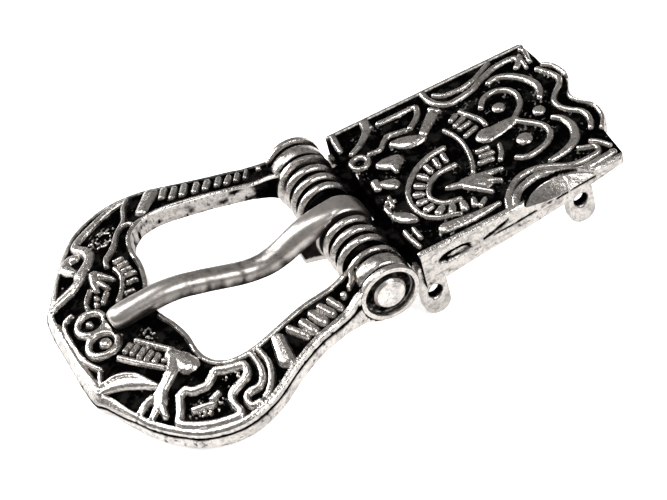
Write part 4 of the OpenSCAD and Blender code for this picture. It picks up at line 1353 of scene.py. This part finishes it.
@dataclass
class Tongue:
    """The cast tongue: a ring on the rivet, a bent round bar and a heel."""

    around: int = 40
    sections: int = 150
    ring_r: float = 3.93
    ring_half: float = 1.78
    ring_round_w: float = 0.85
    ring_round_h: float = 0.8
    ring_side: float = -0.25
    squareness: float = 0.32
    pitch: float = 0.22
    roughness: float = 0.02
    # Line along the heel's side: above it the heel is painted black as shade
    edge_z: float = -3.9
    edge_x: float = -10.6
    edge_slope: float = -0.297
    wear_and_painted_light: BarWearAndShade = BarWearAndShade()
    # Places along the bar: where it is squarer, and where the painted shade on the stretch between the bends begins
    # and ends
    SQUARER, DULL_START, DULL_END = (-9.5, -5.5), (-10.5, -14), (-30, -25.5)
    # Centre line of the bar: x, height, half height, half width and side
    BAR = (
        (-3.3, 0.3, 1.1, 1.74, -0.25), (-4.4, 0.64, 1.22, 1.77, -0.25), (-5.8, 0.66, 1.27, 1.78, -0.25),
        (-7.4, 0.42, 1.48, 1.78, -0.25), (-9.2, 0.0, 1.66, 1.76, -0.25), (-11, -0.72, 1.68, 1.7, -0.22),
        (-12.8, -1.5, 1.6, 1.66, -0.2), (-14.6, -2.03, 1.52, 1.58, -0.17), (-16.5, -2.1, 1.44, 1.5, -0.14),
        (-18.6, -1.7, 1.42, 1.49, -0.1), (-21, -0.9, 1.43, 1.49, -0.06), (-23.5, -0.1, 1.44, 1.49, -0.03),
        (-26, 0.6, 1.46, 1.5, 0), (-28.5, 0.9, 1.5, 1.52, 0), (-31, 0.75, 1.53, 1.56, 0),
        (-33.2, 0.55, 1.52, 1.58, 0), (-34.5, 0.4, 1.38, 1.5, 0), (-35.15, 0.28, 1.1, 1.25, 0),
        (-35.32, 0.24, 0.7, 0.85, 0),
    )
    # Outline of the heel from the side, x and z
    HEEL = ((-8.6, -0.6), (-10.7, -3.5), (-10.6, -3.9), (-6.9, -5), (-5.8, -3.6), (-8.6, -0.6))
    # The heel from side to side: y and the outline's scale there
    HEEL_SECTIONS = (
        (-1.3, 0.3), (-1.3, 0.6), (-1.3, 0.75), (-1.3, 0.85), (-1.28, 0.93), (-1.15, 1), (1.15, 1),
        (1.28, 0.93), (1.3, 0.85), (1.3, 0.6), (1.3, 0.3),
    )

    def bar(self) -> bpy.types.Object:
        """Builds the bar with its rounded tip; it is squarer where it leaves the ring.

        Returns:
            The piece.
        """
        curve = smooth(np.array(self.BAR), 6)
        curve = read_at(curve, run_along(curve[:, :2]), self.sections)
        ahead = headings(curve[:, :2])
        a = np.linspace(0, 2 * math.pi, self.around, endpoint=False)
        square = 1 - self.squareness * step(*self.SQUARER, curve[:, :1])
        up = curve[:, 2:3] * np.sign(np.cos(a)) * np.abs(np.cos(a)) ** square
        side = curve[:, 3:4] * np.sign(np.sin(a)) * np.abs(np.sin(a)) ** square
        x = curve[:, :1] + ahead[:, 1:] * up
        z = curve[:, 1:2] - ahead[:, :1] * up
        run = np.arange(self.sections)[:, None] * self.pitch
        uneven = GRAIN(run, a * 1.5, 1.6) * self.roughness
        points = np.stack([x, curve[:, 4:] + side * (1 + uneven), z], axis=2).reshape(-1, 3)
        # Painted shade darkens the lower flanks, but not the bottom edge, and the stretch between the bends, which
        # catches no highlight
        wear_and_painted_light = self.wear_and_painted_light
        flank_shade = step(0.5, -0.6, np.cos(a)) * step(-1.1, -0.85, np.cos(a))
        middle = step(*self.DULL_START, curve[:, :1]) * step(*self.DULL_END, curve[:, :1])
        scuffs = wear_and_painted_light.scuff * GRAIN(run, side, 0.9) + wear_and_painted_light.fine_scuff * GRAIN(run, side * 2, 0.4)
        polish = wear_and_painted_light.even + scuffs * (1 - 0.7 * flank_shade) - wear_and_painted_light.flank_shade * flank_shade - wear_and_painted_light.middle * middle * (1 - 0.8 * flank_shade)
        faces = Surface.rod_faces(self.sections, self.around)
        return Surface.make("tongue_bar", points, clip01(polish).ravel(), faces)

    def ring(self) -> bpy.types.Object:
        """Builds the ring round the rivet.

        Returns:
            The piece.
        """
        w, side = self.ring_half, self.ring_side
        turn = np.linspace(0, math.pi / 2, 7)
        y = w - self.ring_round_w + self.ring_round_w * np.sin(turn)
        r = self.ring_r - self.ring_round_h + self.ring_round_h * np.cos(turn)
        half = np.vstack([np.stack([y, r], axis=1), [[w, HINGE.bore]]])
        profile = np.vstack([half[::-1] * [-1, 1], half]) + [side, 0]

        def shade(y: np.ndarray, _: np.ndarray) -> np.ndarray:
            """Bright rim and dark sides."""
            return 0.04 + 0.86 * step(w - 0.02, w - 0.25, np.abs(y - side))

        return HINGE.revolve("tongue_ring", profile, shade, 0.03)

    def heel(self) -> bpy.types.Object:
        """Builds the heel under the ring; it is painted black as shade, all but its lower edge.

        Returns:
            The piece.
        """
        outline = np.array(self.HEEL, float)
        outline = read_at(outline, run_along(outline), 41)[:-1]
        middle = outline.mean(axis=0)
        rings = []
        for y, scale in self.HEEL_SECTIONS:
            x, z = (middle + (outline - middle) * scale).T
            rings.append(np.stack([x, np.full(len(x), y + self.ring_side), z], axis=1))
        points = np.vstack(rings)
        # Painted shade: the heel is black above the line, its lower edge bright
        over_edge = points[:, 2] - self.edge_z - self.edge_slope * (points[:, 0] - self.edge_x)
        polish = 0.03 + 0.85 * step(0.9, 0.7, over_edge)
        return Surface.make("tongue_heel", points, polish, Surface.rod_faces(len(rings), len(outline)))


# ---------------------------------------------------------------- finishes


class Node:
    """A socket whose value can be worked with in Python expressions."""

    def __init__(self, tree: bpy.types.NodeTree, socket: bpy.types.NodeSocket) -> None:
        """Keeps the tree and the socket."""
        self.tree, self.socket = tree, socket

    @staticmethod
    def add(tree: bpy.types.NodeTree, kind: str, settings: dict, values: dict) -> bpy.types.Node:
        """Adds a node.

        Args:
            tree: the nodes that it joins.
            kind: the node's type.
            settings: properties, set first.
            values: numbers, or links to other nodes, for its sockets.

        Returns:
            The node.
        """
        node = tree.nodes.new(kind)
        for key, value in settings.items():
            setattr(node, key, value)
        for key, value in values.items():
            if isinstance(value, Node):
                tree.links.new(value.socket, node.inputs[key])
            else:
                node.inputs[key].default_value = value
        return node

    def _math(self, operation: str, *values: object) -> "Node":
        """Adds a Math node.

        Args:
            operation: the node's operation.
            values: numbers or links, in the order of its sockets.

        Returns:
            Its result.
        """
        node = self.add(self.tree, "ShaderNodeMath", {"operation": operation}, dict(enumerate(values)))
        return Node(self.tree, node.outputs[0])

    def __add__(self, other: object) -> "Node":
        """self + other"""
        return self._math("ADD", self, other)

    __radd__ = __add__

    def __sub__(self, other: object) -> "Node":
        """self - other"""
        return self._math("SUBTRACT", self, other)

    def __rsub__(self, other: object) -> "Node":
        """other - self"""
        return self._math("SUBTRACT", other, self)

    def __mul__(self, other: object) -> "Node":
        """self * other"""
        return self._math("MULTIPLY", self, other)

    __rmul__ = __mul__

    def clamp(self) -> "Node":
        """The value between 0 and 1."""
        return self._math("MAXIMUM", self._math("MINIMUM", self, 1.0), 0.0)

    def ramp(self, low: float, high: float) -> "Node":
        """Adds a smooth step.

        Args:
            low: where it is 0.
            high: where it is 1.

        Returns:
            Its result.
        """
        values = {"Value": self, "From Min": low, "From Max": high, "To Min": 0.0, "To Max": 1.0}
        node = self.add(self.tree, "ShaderNodeMapRange", {"interpolation_type": "SMOOTHSTEP"}, values)
        return Node(self.tree, node.outputs[0])


@dataclass(frozen=True)
class CastFinish:
    """Silvered casting whose recesses are blackened.

    The polish comes from the piece's attribute, or from an even noise where the piece has none.
    """

    name: str
    bright: tuple[float, float, float]
    black: tuple[float, float, float]
    bright_rough: float
    black_rough: float
    pit: float
    stain: float
    even: bool = False
    # Scale and detail of the noises
    RUBBED = (900.0, 3.0)
    FINE = (2600.0, 3.0)
    COARSE = (520.0, 4.0)
    GRIT = (6500.0, 2.0)
    SPECKS = (1700.0, 5.0)
    # Polish, with its stains, between which black turns to rubbed silver, and to metal
    WORN, METAL = (0.25, 0.75), (0.02, 0.3)
    # Depth of the pits in millimetres, for the bump
    PIT_DEPTH = 0.08
    # Sockets of a colour's Mix node
    FACTOR, FIRST, SECOND, RESULT = 0, 6, 7, 2

    def _polish(self, tree: bpy.types.NodeTree, where: Node) -> Node:
        """Reads the polish.

        Args:
            tree: the material's nodes.
            where: the place on the piece.

        Returns:
            The polish, 0 to 1.
        """
        if self.even:
            scale, detail = self.RUBBED
            values = {"Vector": where, "Scale": scale, "Detail": detail}
            return Node(tree, Node.add(tree, "ShaderNodeTexNoise", {}, values).outputs["Fac"]) * 0.5 + 0.55
        return Node(tree, Node.add(tree, "ShaderNodeAttribute", {"attribute_name": "polish"}, {}).outputs["Fac"])

    def build(self) -> bpy.types.Material:
        """Builds the material.

        Returns:
            The material.
        """
        material = bpy.data.materials.new(self.name)
        material.use_nodes = True
        tree = material.node_tree
        shader = tree.nodes["Principled BSDF"]
        where = Node(tree, Node.add(tree, "ShaderNodeTexCoord", {}, {}).outputs["Object"])
        polish = self._polish(tree, where)

        def noise(scale: float, detail: float) -> Node:
            """Even noise on the piece."""
            values = {"Vector": where, "Scale": scale, "Detail": detail, "Roughness": 0.6}
            return Node(tree, Node.add(tree, "ShaderNodeTexNoise", {}, values).outputs["Fac"])

        fine, coarse, grit = noise(*self.FINE), noise(*self.COARSE), noise(*self.GRIT)
        stained = polish + (fine - 0.5) * 0.35 * self.stain + (coarse - 0.5) * 0.3 * self.stain
        worn = stained.ramp(*self.WORN)
        specks = noise(*self.SPECKS).ramp(0.5, 0.62) * 0.3 + grit.ramp(0.51, 0.62) * 0.24
        tone = worn * (1 - specks * self.stain) * (1 - coarse.ramp(0.48, 0.62) * 0.25 * self.stain)
        # Painted sheen: faint grey patches in the black, whose own gloss is off
        painted_sheen = coarse.ramp(0.5, 0.66) * 0.014 + fine.ramp(0.56, 0.7) * 0.006
        values = {self.FACTOR: (tone + painted_sheen).clamp(), self.FIRST: (*self.black, 1), self.SECOND: (*self.bright, 1)}
        colour = Node.add(tree, "ShaderNodeMix", {"data_type": "RGBA"}, values)
        tree.links.new(colour.outputs[self.RESULT], shader.inputs["Base Color"])
        rough = self.black_rough + worn * (self.bright_rough - self.black_rough) + (fine - 0.5) * 0.14
        tree.links.new(rough.clamp().socket, shader.inputs["Roughness"])
        # The black is a coat without gloss, and the metal shows through it early
        tree.links.new(worn.ramp(*self.METAL).socket, shader.inputs["Metallic"])
        shader.inputs["Specular IOR Level"].default_value = 0.0
        height = fine * 0.6 + grit * 0.25 + coarse.ramp(0.5, 0.62) * 0.3
        values = {"Height": height, "Strength": self.pit, "Distance": self.PIT_DEPTH * MM}
        bump = Node.add(tree, "ShaderNodeBump", {}, values)
        tree.links.new(bump.outputs[0], shader.inputs["Normal"])
        return material


FINISHES = {
    Slot.CAST: CastFinish(
        "blackened silver", bright=(0.49, 0.46, 0.434), black=(0.0006, 0.0005, 0.0005),
        bright_rough=0.24, black_rough=0.48, pit=0.9, stain=1.0,
    ),
    Slot.RIVET: CastFinish(
        "rivet silver", bright=(0.58, 0.55, 0.52), black=(0.02, 0.02, 0.02),
        bright_rough=0.3, black_rough=0.5, pit=1.0, stain=1.0, even=True,
    ),
    Slot.TONGUE: CastFinish(
        "tongue silver", bright=(0.43, 0.402, 0.378), black=(0.01, 0.008, 0.0075),
        bright_rough=0.32, black_rough=0.48, pit=0.3, stain=0.45,
    ),
}


# ---------------------------------------------------------------- studio


class Panel(NamedTuple):
    """A soft light: its name, place and size in metres, and power in watts."""

    name: str
    place: tuple[float, float, float]
    size: tuple[float, float]
    power: float


@dataclass
class Studio:
    """The floor, the lights and the camera."""

    lens: float = 140.3
    sensor: float = 36.0
    azimuth: float = math.radians(21.05)
    elevation: float = math.radians(40.47)
    roll: float = math.radians(-6.21)
    distance: float = 317.16
    aim: tuple[float, float, float] = (-0.79, -1.8, 5.7)
    nearest: float = 0.01
    furthest: float = 10.0
    floor_size: float = 6
    floor_tone: float = 0.97
    floor_rough: float = 0.9
    floor_glow: float = 0.62
    air: tuple[float, float, float] = (1, 0.985, 0.97)
    air_strength: float = 0.39
    # What the panels look at, in metres
    HEART = Vector((0, 0, 0.005))
    PANELS = (
        Panel("far left panel", (-0.55, 0.6, 0.32), (0.4, 0.3), 10.0),
        Panel("top panel", (-0.45, 0.2, 1.0), (0.6, 0.6), 9.0),
        Panel("near right panel", (0.3, -0.6, 0.65), (0.35, 0.3), 4.2),
    )

    def camera(self) -> None:
        """Places the camera at the photograph's viewing angle."""
        data = bpy.data.cameras.new("camera")
        data.lens, data.sensor_width, data.sensor_fit = self.lens, self.sensor, "HORIZONTAL"
        data.clip_start, data.clip_end = self.nearest, self.furthest
        camera = bpy.data.objects.new("camera", data)
        bpy.context.scene.collection.objects.link(camera)
        ahead = Vector((
            math.sin(self.azimuth) * math.cos(self.elevation),
            math.cos(self.azimuth) * math.cos(self.elevation),
            -math.sin(self.elevation),
        ))
        level = ahead.cross(Vector((0, 0, 1))).normalized()
        upright = level.cross(ahead)
        right = level * math.cos(self.roll) + upright * math.sin(self.roll)
        up = upright * math.cos(self.roll) - level * math.sin(self.roll)
        turn = Matrix((right, up, -ahead)).transposed().to_4x4()
        place = MM * (Vector(self.aim) - ahead * self.distance)
        camera.matrix_world = Matrix.Translation(place) @ turn
        bpy.context.scene.camera = camera

    def light(self, panel: Panel) -> None:
        """Adds a soft panel that looks at the buckle.

        Args:
            panel: the panel.
        """
        data = bpy.data.lights.new(panel.name, "AREA")
        data.shape, data.energy = "RECTANGLE", panel.power
        data.size, data.size_y = panel.size
        lamp = bpy.data.objects.new(panel.name, data)
        lamp.location = panel.place
        lamp.rotation_euler = (self.HEART - Vector(panel.place)).to_track_quat("-Z", "Y").to_euler()
        bpy.context.scene.collection.objects.link(lamp)

    def floor(self) -> None:
        """Adds the pale floor, which glows a little so that it stays pale round the buckle."""
        Surface.clear()
        bpy.ops.mesh.primitive_plane_add(size=self.floor_size)
        floor = bpy.context.object
        floor.name = "floor"
        paint = bpy.data.materials.new("pale floor")
        paint.use_nodes = True
        sockets = paint.node_tree.nodes["Principled BSDF"].inputs
        sockets["Base Color"].default_value = (self.floor_tone, self.floor_tone, self.floor_tone, 1)
        sockets["Roughness"].default_value = self.floor_rough
        sockets["Emission Color"].default_value = (1, 1, 1, 1)
        sockets["Emission Strength"].default_value = self.floor_glow
        floor.data.materials.append(paint)

    def build(self) -> None:
        """Builds the floor, the lights, the air and the camera."""
        self.floor()
        for panel in self.PANELS:
            self.light(panel)
        bpy.context.scene.view_settings.view_transform = "Standard"
        world = bpy.data.worlds.new("air")
        bpy.context.scene.world = world
        world.use_nodes = True
        background = world.node_tree.nodes["Background"].inputs
        background["Color"].default_value = (*self.air, 1)
        background["Strength"].default_value = self.air_strength
        self.camera()


def main() -> None:
    """Builds the dressed buckle."""
    logging.basicConfig(level=logging.INFO, format="%(message)s")
    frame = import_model()
    dresser = Dresser({slot: finish.build() for slot, finish in FINISHES.items()})

    casting = Plate().casting()
    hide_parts("plate")
    dresser.dress(casting, Body.PLATE, Slot.CAST)
    for side in Side:
        dresser.dress(HINGE.knuckle(side), Body.PLATE, Slot.CAST)
        dresser.dress(KnuckleWeb(side).build(), Body.PLATE, Slot.CAST)
        for row in EyeRow:
            dresser.dress(SewingEye(row, side).build(), Body.PLATE, Slot.CAST)

    band = Loop().casting()
    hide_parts("loop")
    dresser.dress(band, Body.LOOP, Slot.CAST)
    for side in Side:
        dresser.dress(HINGE.lug(side), Body.LOOP, Slot.CAST)
    for material_slot in frame["nodes"]["hinge_pin"].material_slots:
        material_slot.material = dresser.finishes[Slot.RIVET]
    LOG.info("hinge_pin: the packed mesh, in the rivet's finish")

    tongue = Tongue()
    bar = tongue.bar()
    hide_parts("tongue")
    dresser.dress(bar, Body.TONGUE, Slot.TONGUE)
    dresser.dress(tongue.ring(), Body.TONGUE, Slot.TONGUE)
    dresser.dress(tongue.heel(), Body.TONGUE, Slot.TONGUE)

    Studio().build()


if __name__ == "__main__":
    main()
